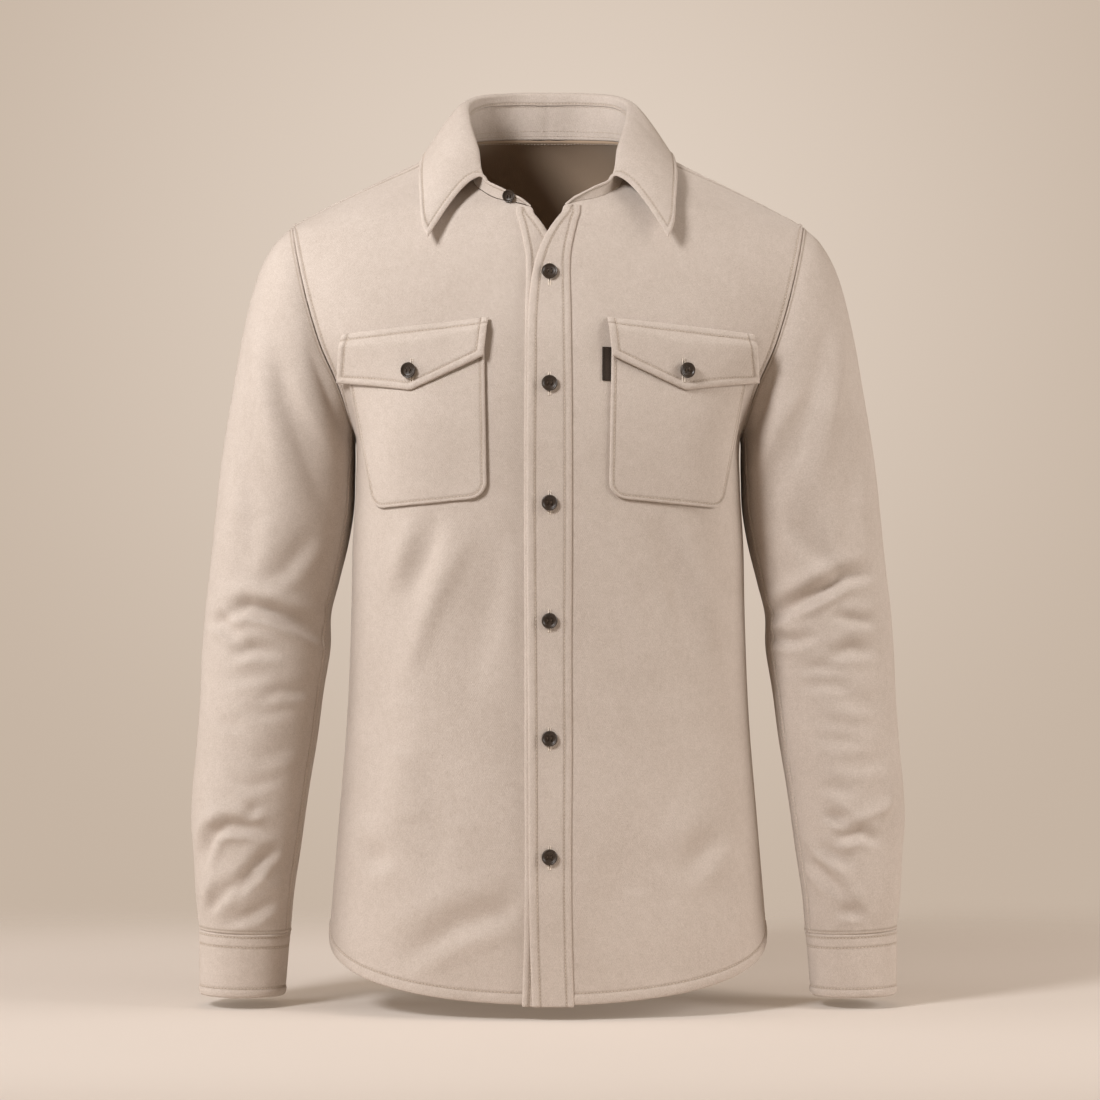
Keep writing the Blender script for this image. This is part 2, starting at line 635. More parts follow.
def from_edge(grid, edge):
    """Distance over the cloth from one edge: first_row, last_row, first_column, last_column."""
    if edge.endswith("column"):
        lengths = across_length(grid)
        return lengths if edge == "first_column" else lengths[:, -1:] - lengths
    lengths = across_length(grid.transpose(1, 0, 2)).T
    return lengths if edge == "first_row" else lengths[-1:] - lengths


def grid_normals(grid):
    across = np.gradient(grid, axis=1)
    return unit(np.cross(across, np.gradient(grid, axis=0)))


def make_panel(grid, outward, gap=SEAM_GAP / 2):
    """A panel from its grid; `outward` holds a direction that leaves the cloth's front."""
    grid = grid.copy()
    for edge, inner in ((0, 1), (-1, -2)):
        for view in (grid, grid.transpose(1, 0, 2)):
            inward = view[inner] - view[edge]
            length = np.linalg.norm(inward, axis=-1, keepdims=True)
            view[edge] += inward * np.minimum(gap / np.maximum(length, 1e-9), 0.5)
    normals = grid_normals(grid)
    if (normals * outward).sum() < 0:
        normals = -normals
    flat = np.zeros(grid.shape[:2])
    return {"grid": grid, "normals": normals, "relief": flat, "seam": flat.copy()}


def mirrored(panel):
    """The same panel on the wearer's right, its columns in the same order."""
    flip = np.array((-1, 1, 1))
    return {**panel, "grid": panel["grid"] * flip, "normals": panel["normals"] * flip}


# %% [markdown]
# ## Edges
#
# A sewn edge has three parts: the fold or seam itself, a soft roll of doubled cloth, and
# the groove that the line of stitching pulls down. The roll is never quite even, since
# each stitch gathers the cloth a little, so three waves of different length vary it.

# %% Relief beside an edge
ALL_EDGES = ("first_row", "last_row", "first_column", "last_column")
PUFF = 0.00075
ROLL_POWER = 0.7
ROLL_UNEVEN = 0.35
GROOVE = 0.00055
GROOVE_UNEVEN = 0.3
GROOVE_WIDTH = 0.00085
GROOVE_SHADE = 0.8
SEAM_DIP = 0.0004
SEAM_SHADE = 0.40
# Each row: the length of a wave along the stitching, and its share.
PUCKERS = ((0.0071, 0.5), (0.0127, 0.3), (0.031, 0.2))
PUCKER_START = 40


def pucker(along):
    """Unevenness between -1 and 1 along a line of stitching."""
    waves = [share * np.sin(2 * np.pi * along / wave + PUCKER_START * wave) for wave, share in PUCKERS]
    return sum(waves)


def groove_shape(distance):
    """1 at a line of points and 0 well beside it, over the width of a groove."""
    return np.exp(-((distance / GROOVE_WIDTH) ** 2))


def roll_and_groove(panel, distance, uneven, stitch, puff, groove=GROOVE, vary=0.0, joined=False, where=1.0):
    """A roll of cloth from an edge to its stitching, and the groove there."""
    inside = np.clip(distance / stitch, 0, 1)
    roll = puff * np.sin(np.pi * inside) ** ROLL_POWER * (1 + ROLL_UNEVEN * uneven)
    line = groove_shape(distance - stitch)
    relief = roll - groove * line * (1 + vary * uneven)
    shade = GROOVE_SHADE * line
    if joined:
        dip = groove_shape(distance)
        relief = relief - SEAM_DIP * dip
        shade = np.maximum(shade, SEAM_SHADE * dip)
    panel["relief"] += relief * where
    panel["seam"] = np.maximum(panel["seam"], shade * where)


def along_edge(grid, edge):
    """How far every point lies along an edge."""
    return from_edge(grid, "first_column" if edge.endswith("row") else "first_row")


def sew_edge(panel, edge, stitch, puff=PUFF, joined=False, where=1.0, groove=GROOVE):
    """Puffs the cloth between an edge and its stitching; a joined edge dips at the seam."""
    grid = panel["grid"]
    uneven = pucker(along_edge(grid, edge))
    distance = from_edge(grid, edge)
    roll_and_groove(panel, distance, uneven, stitch, puff, groove, GROOVE_UNEVEN, joined, where)


def sew_border(panel, edges, stitch, puff=PUFF):
    """The relief of sew_edge, along several free edges, with its lines mitred at corners."""
    grid = panel["grid"]
    distances = np.array([from_edge(grid, edge) for edge in edges])
    alongs = np.array([along_edge(grid, edge) for edge in edges])
    nearest = distances.argmin(0)
    uneven = pucker(np.take_along_axis(alongs, nearest[None], 0)[0])
    roll_and_groove(panel, distances.min(0), uneven, stitch, puff)


def groove_line(panel, edge, distance_in):
    """One more row of stitching, at a distance from an edge."""
    line = groove_shape(from_edge(panel["grid"], edge) - distance_in)
    panel["relief"] -= GROOVE * line
    panel["seam"] = np.maximum(panel["seam"], GROOVE_SHADE * line)


# %% [markdown]
# ## From panel to cloth
#
# The outer face is the panel with its relief. The inner face is the plain form, moved in
# by the cloth's thickness. A free edge is a fold, so its rim bulges out a little and
# catches the light. A seam's rim stays flat, so that two panels meet without crossing.
# Every point keeps its place on the cloth in a UV map called cloth, in metres, a value
# called seam, which the finish uses to darken the stitching lines, and a value called
# reverse, which is 1 on the inside of single cloth.


# %% Cloth shell
RIM_BULGE = 0.42
INNER_SEAM_SHARE = 0.3


def border_loop(rows, columns):
    """Row and column numbers once round a grid's open edge."""
    loop = [(0, c) for c in range(columns)]
    loop += [(r, columns - 1) for r in range(1, rows)]
    loop += [(rows - 1, c) for c in range(columns - 2, -1, -1)]
    loop += [(r, 0) for r in range(rows - 2, 0, -1)]
    return np.array(loop)


def rim_bulge(loop, rows, columns, free):
    """1 for border points on a free edge, 0 on a seam."""
    bulge = np.zeros(len(loop))
    for edge in free:
        axis, number = (0, 0) if edge.endswith("row") else (1, 0)
        number = 0 if edge.startswith("first") else ((rows, columns)[axis] - 1)
        bulge = np.maximum(bulge, loop[:, axis] == number)
    return bulge


def new_piece(name, points, faces, corner_uv, seam, reverse, finish):
    """A mesh object from arrays, with its cloth map and its seam and reverse values."""
    mesh = bpy.data.meshes.new(name)
    mesh.from_pydata(points.tolist(), [], faces.tolist())
    layer = mesh.uv_layers.new(name="cloth")
    layer.uv.foreach_set("vector", corner_uv.astype(np.float32).ravel())
    for value_name, values in (("seam", seam), ("reverse", reverse)):
        layer = mesh.attributes.new(value_name, "FLOAT", "POINT")
        layer.data.foreach_set("value", values.astype(np.float32))
    mesh.materials.append(finish)
    mesh.shade_smooth()
    piece = bpy.data.objects.new(name, mesh)
    bpy.context.scene.collection.objects.link(piece)
    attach(piece, "root")
    return piece


def make_cloth(name, panel, thickness, finish, free=(), doubled=False):
    """A closed shell of cloth from a panel; doubled cloth shows its face on both sides."""
    grid, normals = panel["grid"], panel["normals"]
    rows, columns = grid.shape[:2]
    thickness = np.broadcast_to(thickness, (rows, columns))[..., None]
    outer = grid + normals * panel["relief"][..., None]
    inner = grid - normals * thickness
    loop = border_loop(rows, columns)
    at = loop[:, 0], loop[:, 1]
    step_in = np.stack([np.clip(loop[:, 0], 1, rows - 2), np.clip(loop[:, 1], 1, columns - 2)], -1)
    away = unit(grid[at] - grid[step_in[:, 0], step_in[:, 1]])
    bulge = rim_bulge(loop, rows, columns, free)[:, None] * RIM_BULGE * thickness[at]
    middle = (outer[at] + inner[at]) / 2 + away * bulge
    count = rows * columns
    points = np.concatenate([outer.reshape(-1, 3), inner.reshape(-1, 3), middle])
    r, c = np.meshgrid(np.arange(rows - 1), np.arange(columns - 1), indexing="ij")
    first = (r * columns + c).ravel()
    quads = np.stack([first, first + 1, first + columns + 1, first + columns], -1)
    border = loop[:, 0] * columns + loop[:, 1]
    following = np.roll(border, -1)
    rim = 2 * count + np.arange(len(loop))
    next_rim = np.roll(rim, -1)
    strips = [
        np.stack([border, rim, next_rim, following], -1),
        np.stack([rim, border + count, following + count, next_rim], -1),
    ]
    faces = np.concatenate([quads, quads[:, ::-1] + count, *strips])
    across = np.cross(outer[0, 1] - outer[0, 0], outer[1, 0] - outer[0, 0])
    if (across * normals[0, 0]).sum() < 0:
        faces = faces[:, ::-1]
    place = np.stack([across_length(grid), from_edge(grid, "first_row")], -1).reshape(-1, 2)
    uv = np.concatenate([place, place, place[border]])
    shade = panel["seam"]
    seam = np.concatenate([shade.ravel(), INNER_SEAM_SHARE * shade.ravel(), shade[at]])
    reverse = np.zeros(len(points))
    reverse[count : 2 * count] = 0 if doubled else 1
    return new_piece(name, points, faces, uv[faces.ravel()], seam, reverse, finish)


# %% [markdown]
# ## Thread
#
# The topstitching is in a thread of the cloth's own colour. From a few steps away it is a
# dashed line of tiny lit bars, so each stitch is a real one here: a short rod that dips
# into the cloth at both ends, worked by a loop along the stitching line.

# %% Lines of stitches
STITCH_PITCH = 0.0031
STITCH_LENGTH = 0.0023
THREAD_RADIUS = 0.00030
THREAD_SIDES = 5
# Each row: the share along the stitch, and its lift and thickness in radii of the thread.
STITCH_SHAPE = ((0.0, -1.2, 0.55), (0.18, 0.35, 1.0), (0.5, 0.75, 1.0), (0.82, 0.35, 1.0), (1.0, -1.2, 0.55))
FIRST_STITCH = 0.3
STITCH_PLAY = 0.05
LEAST_ROOM = 1.2


def line_inside(panel, edge, distance_in, keep=None, trims=(), inside=None):
    """Points and normals of a line at a distance from one edge of a panel.

    `trims` holds pairs of an edge and the least distance that the line keeps from it.
    `inside` is the cloth's thickness when the line lies on its inner face. The line is
    left out where the panel is hardly wider than the distance.
    """
    face = panel["grid"] + panel["normals"] * panel["relief"][..., None]
    normals = panel["normals"]
    if inside is not None:
        face, normals = panel["grid"] - panel["normals"] * inside, -panel["normals"]
    distance = from_edge(panel["grid"], edge)
    others = [from_edge(panel["grid"], other) for other, _ in trims]
    if edge.endswith("row"):
        face, normals, distance = face.transpose(1, 0, 2), normals.transpose(1, 0, 2), distance.T
        others = [other.T for other in others]
    if edge.startswith("last"):
        face, normals, distance = face[:, ::-1], normals[:, ::-1], distance[:, ::-1]
        others = [other[:, ::-1] for other in others]
    i = np.clip((distance < distance_in).sum(1) - 1, 0, distance.shape[1] - 2)
    lines = np.arange(len(face))
    low, high = distance[lines, i], distance[lines, i + 1]
    t = np.clip((distance_in - low) / np.maximum(high - low, 1e-9), 0, 1)[:, None]
    points = face[lines, i] * (1 - t) + face[lines, i + 1] * t
    directions = unit(normals[lines, i] * (1 - t) + normals[lines, i + 1] * t)
    kept = distance[:, -1] > distance_in * LEAST_ROOM
    if keep is not None:
        kept &= keep
    for (_, least), other in zip(trims, others):
        kept &= other[lines, i] >= least
    return points[kept], directions[kept]


def sew(name, lines, finish, pitch=STITCH_PITCH, length=STITCH_LENGTH, radius=THREAD_RADIUS):
    """One mesh of separate stitches along every line; with no pitch, one on each line."""
    rng = np.random.default_rng(len(lines) + len(name))
    all_points, all_faces, count = [], [], 0
    turn = 2 * np.pi * np.arange(THREAD_SIDES) / THREAD_SIDES
    share, lift, thickness = np.array(STITCH_SHAPE).T
    for points, normals in lines:
        if len(points) < 2:
            continue
        steps = np.linalg.norm(np.diff(points, axis=0), axis=1)
        along = np.concatenate([[0], np.cumsum(steps)])
        starts = np.array([max(along[-1] - length, 0.0) / 2])
        if pitch is not None:
            starts = np.arange(pitch * FIRST_STITCH, along[-1] - length, pitch)
            starts = starts + rng.uniform(-STITCH_PLAY, STITCH_PLAY, len(starts)) * pitch
        if len(starts) == 0:
            continue
        at = starts[:, None] + share * length
        centre = np.stack([np.interp(at, along, points[:, i]) for i in range(3)], -1)
        up = unit(np.stack([np.interp(at, along, normals[:, i]) for i in range(3)], -1))
        ahead = unit(centre[:, -1:] - centre[:, :1])
        side = unit(np.cross(up, ahead))
        centre = centre + up * (lift * radius)[None, :, None]
        thick = (thickness * radius)[None, :, None, None]
        ring = side[:, :, None] * np.cos(turn)[:, None] + up[:, :, None] * np.sin(turn)[:, None]
        rods = centre[:, :, None] + ring * thick
        rings, sides = rods.shape[1], rods.shape[2]
        k, j, s = np.meshgrid(np.arange(len(rods)), np.arange(rings - 1), np.arange(sides), indexing="ij")
        base = count + (k * rings + j) * sides
        after = (s + 1) % sides
        faces = np.stack([base + s, base + after, base + sides + after, base + sides + s], -1)
        all_points.append(rods.reshape(-1, 3))
        all_faces.append(faces.reshape(-1, 4))
        count += rods.size // 3
    points, faces = np.concatenate(all_points), np.concatenate(all_faces)
    uv = points[faces.ravel()][:, [0, 2]]
    plain = np.zeros(len(points))
    return new_piece(name, points, faces, uv, plain, plain, finish)


# %% [markdown]
# ## Brushed twill
#
# The cloth is a cotton twill with a brushed face. Near to, twill shows fine slanting
# ribs, and the brushing leaves a short nap that lies this way and that, so the colour
# shifts a little like suede. The ribs follow the cloth, so they are worked out from the
# cloth map. The nap is noise in the garment's own space. Both feed a bump, and the
# stitching lines are darkened. It is one node group, so that every cloth finish uses it
# with its own colours. Sheen stays on the shader itself.

# %% Node group for brushed twill
TWILL_SOCKETS = (
    ("INPUT", "Cloth place", "Vector"),
    ("INPUT", "Garment place", "Vector"),
    ("INPUT", "Lit nap", "Color"),
    ("INPUT", "Turned nap", "Color"),
    ("INPUT", "Reverse side", "Color"),
    ("INPUT", "Stitched", "Float"),
    ("INPUT", "Reverse", "Float"),
    ("OUTPUT", "Colour", "Color"),
    ("OUTPUT", "Roughness", "Float"),
    ("OUTPUT", "Height", "Float"),
)
RIBS_PER_METRE = 760.0
RIB_DIRECTION = (0.75, -0.45)
YARNS_PER_METRE = 1250.0
YARN_DIRECTION = (0.4, 0.9)
# Scale and detail of each noise.
NAP = (900, 2)
PATCHES = (150, 4)
BROAD = (17, 3)
# How far each effect moves the colour from the lit nap to the turned nap.
NAP_SHADE = 0.96
PATCH_SHADE = 0.32
BROAD_SHADE = 0.36
RIB_SHADE = 0.060
STITCH_SHADE = 0.85
SHADE_OFFSET = 0.425
PLAIN_ROUGHNESS = 0.78
NAP_ROUGHNESS = 0.2
# How high each effect stands in the bump.
RIB_HEIGHT = 0.30
YARN_HEIGHT = 0.15
NAP_HEIGHT = 1.5
PATCH_HEIGHT = 0.9


def brushed_twill_group():
    tree = bpy.data.node_groups.new("brushed_twill", "ShaderNodeTree")
    for in_out, name, kind in TWILL_SOCKETS:
        tree.interface.new_socket(name, in_out=in_out, socket_type=f"NodeSocket{kind}")
    given = add_node(tree, "NodeGroupInput").outputs
    place = add_node(tree, "ShaderNodeSeparateXYZ", {0: given["Cloth place"]}).outputs

    def work(operation, first, second=0.0):
        return add_node(tree, "ShaderNodeMath", {0: first, 1: second}, operation=operation).outputs[0]

    def plus(first, second):
        return work("ADD", first, second)

    def times(first, second):
        return work("MULTIPLY", first, second)

    def lines(direction, per_metre):
        """Fine lines over the cloth, about as many to the metre along the direction."""
        across = plus(times(place["X"], direction[0]), times(place["Y"], direction[1]))
        return work("SINE", times(across, per_metre * 2 * math.pi))

    def noise(scale, detail):
        inputs = {"Vector": given["Garment place"], "Scale": scale, "Detail": detail}
        return add_node(tree, "ShaderNodeTexNoise", inputs).outputs["Fac"]

    ribs, yarns = lines(RIB_DIRECTION, RIBS_PER_METRE), lines(YARN_DIRECTION, YARNS_PER_METRE)
    nap, patches, broad = noise(*NAP), noise(*PATCHES), noise(*BROAD)
    shade = plus(times(patches, PATCH_SHADE), times(broad, BROAD_SHADE))
    shade = plus(shade, times(nap, NAP_SHADE))
    shade = plus(work("SUBTRACT", shade, SHADE_OFFSET), times(ribs, RIB_SHADE))
    shade = plus(shade, times(given["Stitched"], STITCH_SHADE))
    face = mix_colours(tree, shade, given["Lit nap"], given["Turned nap"])
    height = plus(times(ribs, RIB_HEIGHT), times(times(ribs, yarns), YARN_HEIGHT))
    height = plus(height, times(nap, NAP_HEIGHT))
    results = {
        "Colour": mix_colours(tree, given["Reverse"], face, given["Reverse side"]),
        "Roughness": plus(PLAIN_ROUGHNESS, times(nap, NAP_ROUGHNESS)),
        "Height": plus(height, times(patches, PATCH_HEIGHT)),
    }
    add_node(tree, "NodeGroupOutput", results)
    return tree


TWILL = brushed_twill_group()


# %% Cloth finishes
REVERSE_SIDE = (0.40, 0.295, 0.210)
SHEEN_TINT = (1.0, 0.93, 0.85)
SHEEN_ROUGHNESS = 0.42
CLOTH_SPECULAR = 0.18
NAP_DEPTH = 0.0004


def twill_finish(name, lit, turned, sheen, bump):
    """Brushed twill in two tones: where the nap catches the light, and where it is turned."""
    made, tree, shader = new_finish(name)
    made.diffuse_color = (*lit, 1)
    kept = {}
    for value in ("seam", "reverse"):
        kept[value] = add_node(tree, "ShaderNodeAttribute", attribute_name=value).outputs["Fac"]
    inputs = {
        "Lit nap": (*lit, 1),
        "Turned nap": (*turned, 1),
        "Reverse side": (*REVERSE_SIDE, 1),
        "Cloth place": add_node(tree, "ShaderNodeUVMap", uv_map="cloth").outputs["UV"],
        "Garment place": add_node(tree, "ShaderNodeTexCoord").outputs["Object"],
        "Stitched": kept["seam"],
        "Reverse": kept["reverse"],
    }
    twill = add_node(tree, "ShaderNodeGroup", inputs, node_tree=TWILL).outputs
    nap = {"Height": twill["Height"], "Strength": bump, "Distance": NAP_DEPTH}
    values = {
        "Specular IOR Level": CLOTH_SPECULAR,
        "Sheen Weight": sheen,
        "Sheen Roughness": SHEEN_ROUGHNESS,
        "Sheen Tint": (*SHEEN_TINT, 1),
        "Base Color": twill["Colour"],
        "Roughness": twill["Roughness"],
        "Normal": add_node(tree, "ShaderNodeBump", nap).outputs["Normal"],
    }
    set_inputs(tree, shader, values)
    return made


# Each row: the name, the lit tone, the turned tone, the sheen and the strength of the bump.
FINISHES = (
    ("brushed_sand_twill", (0.650, 0.576, 0.520), (0.400, 0.333, 0.278), 0.30, 0.35),
    ("sand_thread", (0.70, 0.61, 0.52), (0.46, 0.38, 0.31), 0.15, 0.2),
    ("buttonhole_thread", (0.86, 0.78, 0.69), (0.62, 0.53, 0.45), 0.15, 0.2),
    ("buttonhole_slit", (0.10, 0.07, 0.05), (0.05, 0.035, 0.025), 0.0, 0.2),
    ("dark_tape", (0.055, 0.040, 0.031), (0.030, 0.022, 0.017), 0.12, 0.5),
)
made_finishes = [twill_finish(*row) for row in FINISHES]
cloth_finish, thread_finish, bar_finish, slit_finish, tape_finish = made_finishes
print("cloth finishes:", [finish.name for finish in made_finishes])

# %% [markdown]
# ## Horn buttons
#
# The buttons are turned from a dark brown horn-like plastic: a dished face, a raised
# polished rim and four drilled holes. The finish has slow streaks of two browns and a
# roughness that varies a little, so that the rim's glint isn't a clean line.


# %% Button finish
HORN_DARK = (0.016, 0.011, 0.008)
HORN_LIGHT = (0.060, 0.040, 0.027)
STREAKS_PER_METRE = (420, 420, 120)
STREAK_DETAIL = 3.0
HORN_ROUGHNESS = (0.32, 0.50)
HORN_SPECULAR = 0.42
POLISH = 0.12
POLISH_ROUGHNESS = 0.22


def horn_finish():
    made, tree, shader = new_finish("dark_horn")
    place = add_node(tree, "ShaderNodeTexCoord").outputs["Object"]
    stretch = add_node(tree, "ShaderNodeMapping", {"Vector": place, "Scale": STREAKS_PER_METRE})
    noise = {"Vector": stretch.outputs["Vector"], "Scale": 1.0, "Detail": STREAK_DETAIL}
    streak = add_node(tree, "ShaderNodeTexNoise", noise).outputs["Fac"]
    spread = {"Value": streak, "To Min": HORN_ROUGHNESS[0], "To Max": HORN_ROUGHNESS[1]}
    values = {
        "Specular IOR Level": HORN_SPECULAR,
        "Coat Weight": POLISH,
        "Coat Roughness": POLISH_ROUGHNESS,
        "Base Color": mix_colours(tree, streak, (*HORN_DARK, 1), (*HORN_LIGHT, 1)),
        "Roughness": add_node(tree, "ShaderNodeMapRange", spread).outputs["Result"],
    }
    set_inputs(tree, shader, values)
    return made


horn = horn_finish()

# %% [markdown]
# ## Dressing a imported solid
#
# Every cloth piece bears the name of the node that it replaces. Its panel is kept, because
# the stitching is laid on it later.

# %% Cloth for a node
panels = {}
cloths = {}


def dress(node, panel, thickness, free=(), doubled=False):
    """Makes the cloth that replaces the solid of a node, and keeps both under its name."""
    panels[node] = panel
    cloths[node] = make_cloth(f"{node}_cloth", panel, thickness, cloth_finish, free, doubled)
    print(node, "rows and columns:", panel["grid"].shape[:2])


# %% Distances from the edges: how far a plain seam's roll reaches, and where stitching runs
HEM_STITCH = 0.0095
BACK_TOP_ROLL = 0.0020
FRONT_SEAM_ROLL = 0.0015
SLEEVE_END_ROLL = 0.0030
TAB_EDGE_ROLL = 0.0012
BACK_SIDE_STITCH = 0.0060
ARM_STITCH = 0.0050
SHOULDER_STITCH = 0.0042
YOKE_NEAR_STITCH = 0.0022
YOKE_FAR_STITCH = 0.0080
YOKE_INSIDE_STITCH = 0.0030
SLEEVE_NEAR_STITCH = 0.0015
SLEEVE_FAR_STITCH = 0.0062
CUFF_TOP_STITCH = 0.0024
CUFF_SECOND_STITCH = 0.0112
CUFF_LOW_STITCH = 0.0075
CUFF_END_STITCH = 0.0060
BAND_FREE_STITCH = 0.0068
BAND_SEWN_STITCH = 0.0056
LEAF_STITCH = 0.0058
FACING_STITCH = 0.0018

# %% [markdown]
# ## Back and fronts
#
# The panels run in rows from the hem up. Below the underarm the rows follow the curved
# shirttail hem, and above it they climb the armhole and then the shoulder seam. The two
# fronts are cut alike, but the left one stands off the form near the middle, because it
# laps over the right front and its button band.

# %% Rows of a body panel
LEVELS = np.linspace(TORSO[0][0], UNDERARM_Z, 120)
SHOULDER_TIP_X = SHOULDER[-1][0]
NECK_POINT_CLEAR = 0.0006
FRONT_ANGLE = float(armhole_angle(SHOULDER_TIP_Z))
BACK_ANGLE = 2 * math.pi - float(armhole_angle(YOKE_SEAM_Z))
side_rows = cut_lines(length=0.495, at_end=False)
front_angles = np.linspace(math.pi, FRONT_ANGLE, 50)
back_angles = math.pi + (BACK_ANGLE - math.pi) * cut_lines(length=0.150, at_start=False)
seam_xs = SHOULDER_TIP_X - (SHOULDER_TIP_X - NECK_POINT_X - NECK_POINT_CLEAR) * cut_lines(length=0.160)


def hem_z(share, middle):
    side = FRONT_HEM_Z + FRONT_HEM_RISE
    return middle + (side - middle) * share**HEM_CURVE


def body_rows(shares, hem_middle, start, side, heights):
    """Rows of points from the hem to the underarm, then one at each of the heights."""
    starts = [float(start(z)) for z in LEVELS]
    levels = np.array([section_points(z, shares, x, side) for z, x in zip(LEVELS, starts)])
    z = hem_z(shares, hem_middle)
    z = z + (UNDERARM_Z - z) * side_rows[:-1, None]
    low = np.empty((*z.shape, 3))
    for c in range(len(shares)):
        for axis in (0, 1):
            low[:, c, axis] = np.interp(z[:, c], LEVELS, levels[:, c, axis])
    low[..., 2] = z
    high = np.array([section_points(h, shares, float(start(h)), side) for h in heights])
    return np.concatenate([low, high])


def fade_at(distance, over):
    return ease(distance / over)


# %% Back
BACK_WAVES = 0.0010
SIDE_FADE = 0.03


def crease_panel(panel, table, waves):
    """Moves the panel's points in along their normals, less and less near its sides."""
    grid = panel["grid"]
    keep = np.ones(grid.shape[:2])
    for edge in ("first_column", "last_column"):
        keep = keep * fade_at(from_edge(grid, edge), SIDE_FADE)
    shift = crease_shift(grid[..., 0], grid[..., 2], table)
    shift = shift + waves * ripple(grid[..., 0], grid[..., 2])
    panel["grid"] = grid - panel["normals"] * (shift * keep)[..., None]
    side = np.sign((grid_normals(grid) * panel["normals"]).sum())
    panel["normals"] = grid_normals(panel["grid"]) * side


def make_back():
    shares = cut_lines(length=0.235, at_start=False)
    half = body_rows(shares, BACK_HEM_Z, lambda z: 0.0, 1, armhole(back_angles)[:, 2])
    grid = np.concatenate([(half * (-1, 1, 1))[:, :0:-1], half], axis=1)
    panel = make_panel(grid, (0, 1, 0))
    crease_panel(panel, BODY_CREASES["back", 1], BACK_WAVES)
    sew_edge(panel, "first_row", HEM_STITCH)
    for edge in ("first_column", "last_column"):
        sew_edge(panel, edge, BACK_SIDE_STITCH, puff=0.0004, joined=True)
    sew_edge(panel, "last_row", BACK_TOP_ROLL, puff=0.0001, joined=True, groove=0.0)
    return panel


dress("back", make_back(), CLOTH, free=("first_row",))

# %% Fronts
FRONT_WAVES = 0.0009
FRONT_PLAIN_X = 0.012
THROAT_Z = -0.06
THROAT_FADE = 0.05
FRONT_FREE = ("first_row", "first_column")
front_shares = cut_lines(length=0.235)
front_heights = np.concatenate([armhole(front_angles)[:, 2], shoulder_z(seam_xs[1:])])
front_base = body_rows(front_shares, FRONT_HEM_Z, free_edge_x, -1, front_heights)
arm_rows = slice(len(side_rows) - 1, len(side_rows) - 1 + len(front_angles))


def front_lift(x):
    """How far the upper front stands off the lower one beside the centre."""
    return ease((LIFT_NONE_X - x) / (LIFT_NONE_X - LIFT_FULL_X))


def front_crease(x, z, table):
    """The creases and waves of a front, fading at the middle, the side and the throat."""
    edge, _ = section_edge(z)
    keep = fade_at(x - FRONT_PLAIN_X, SIDE_FADE) * fade_at(edge - x, SIDE_FADE)
    keep = keep * fade_at(THROAT_Z - z, THROAT_FADE)
    return (crease_shift(x, z, table) + FRONT_WAVES * ripple(x, z)) * keep


def make_front(lift, table):
    grid = front_base.copy()
    normals = grid_normals(grid)
    normals = normals * np.sign(-normals[..., 1].sum())
    x, z = grid[..., 0], grid[..., 2]
    grid = grid + normals * (lift * front_lift(x) - front_crease(x, z, table))[..., None]
    panel = make_panel(grid, (0, -1, 0))
    sew_edge(panel, "first_row", HEM_STITCH)
    # The armhole's stitching fades in over four rows at each end of the armhole.
    rows = np.arange(len(grid))[:, None]
    on_arm = ease((rows - arm_rows.start + 3) / 4) * ease((arm_rows.stop + 2 - rows) / 4)
    sew_edge(panel, "last_column", ARM_STITCH, puff=0.0007, joined=True, where=on_arm)
    off_arm = 1 - on_arm
    sew_edge(panel, "last_column", FRONT_SEAM_ROLL, puff=0.0001, joined=True, groove=0.0, where=off_arm)
    return panel


dress("front_left", make_front(LEFT_FRONT_OUT, BODY_CREASES["left", -1]), CLOTH, FRONT_FREE)
dress("front_right", mirrored(make_front(0.0, BODY_CREASES["right", -1])), CLOTH, FRONT_FREE)

# %% [markdown]
# ## Yoke
#
# The yoke is the piece across the shoulders. Its front edge is the shoulder seam, set a
# little forward of the ridge, its middle meets the collar, and its straight back edge is
# sewn to the back with two rows of stitches.

# %% Neck curves
NECK_COLUMNS = ("along", "x", "y", "z")
BACK_NECK = (
    (0.00, 0.0000, 0.0720, 0.0300),
    (0.35, 0.0340, 0.0660, 0.0290),
    (0.65, 0.0600, 0.0420, 0.0255),
    (0.85, 0.0740, 0.0100, 0.0200),
    (1.00, 0.0780, -0.0220, 0.0160),
)
behind = [smooth(BACK_NECK, NECK_COLUMNS, axis, "along") for axis in "xyz"]
BACK_NECK_CURVE = np.stack([f(np.linspace(0, 1, CURVE_POINTS)) for f in behind], -1)


def front_form(x, z):
    """Depth of the front's form without creases."""
    return -section_depth(x, z, front_depth(z))


NECK_FRONT_X = 0.2101
# At this width the shoulder seam is as low as the front end of the neck seam.
neck_zs = shoulder_z(np.linspace(NECK_POINT_X, NECK_FRONT_X, CURVE_POINTS))
neck_xs = free_edge_x(neck_zs)
FRONT_NECK_CURVE = np.stack([neck_xs, front_form(neck_xs, neck_zs), neck_zs], -1)


# %% Yoke
def yoke_profile(x):
    """Depth, rise and squareness of the yoke's form at width x, from its back seam up."""
    share = x / SHOULDER[-1][0]
    power = YOKE_SQUARENESS_BACK + (YOKE_SQUARENESS_ARM - YOKE_SQUARENESS_BACK) * share**2
    seam_x = min(x, float(armhole_x(YOKE_SEAM_Z)))
    depth = float(section_depth(seam_x, YOKE_SEAM_Z, back_depth(YOKE_SEAM_Z)))
    return depth, float(ridge_z(x)) - YOKE_SEAM_Z, power


def yoke_turn(x, y):
    depth, _, power = yoke_profile(x)
    reach = depth if y > 0 else YOKE_FRONT_DEPTH
    return math.asin(math.copysign(min(abs(y / reach), 1.0) ** (power / 2), y))


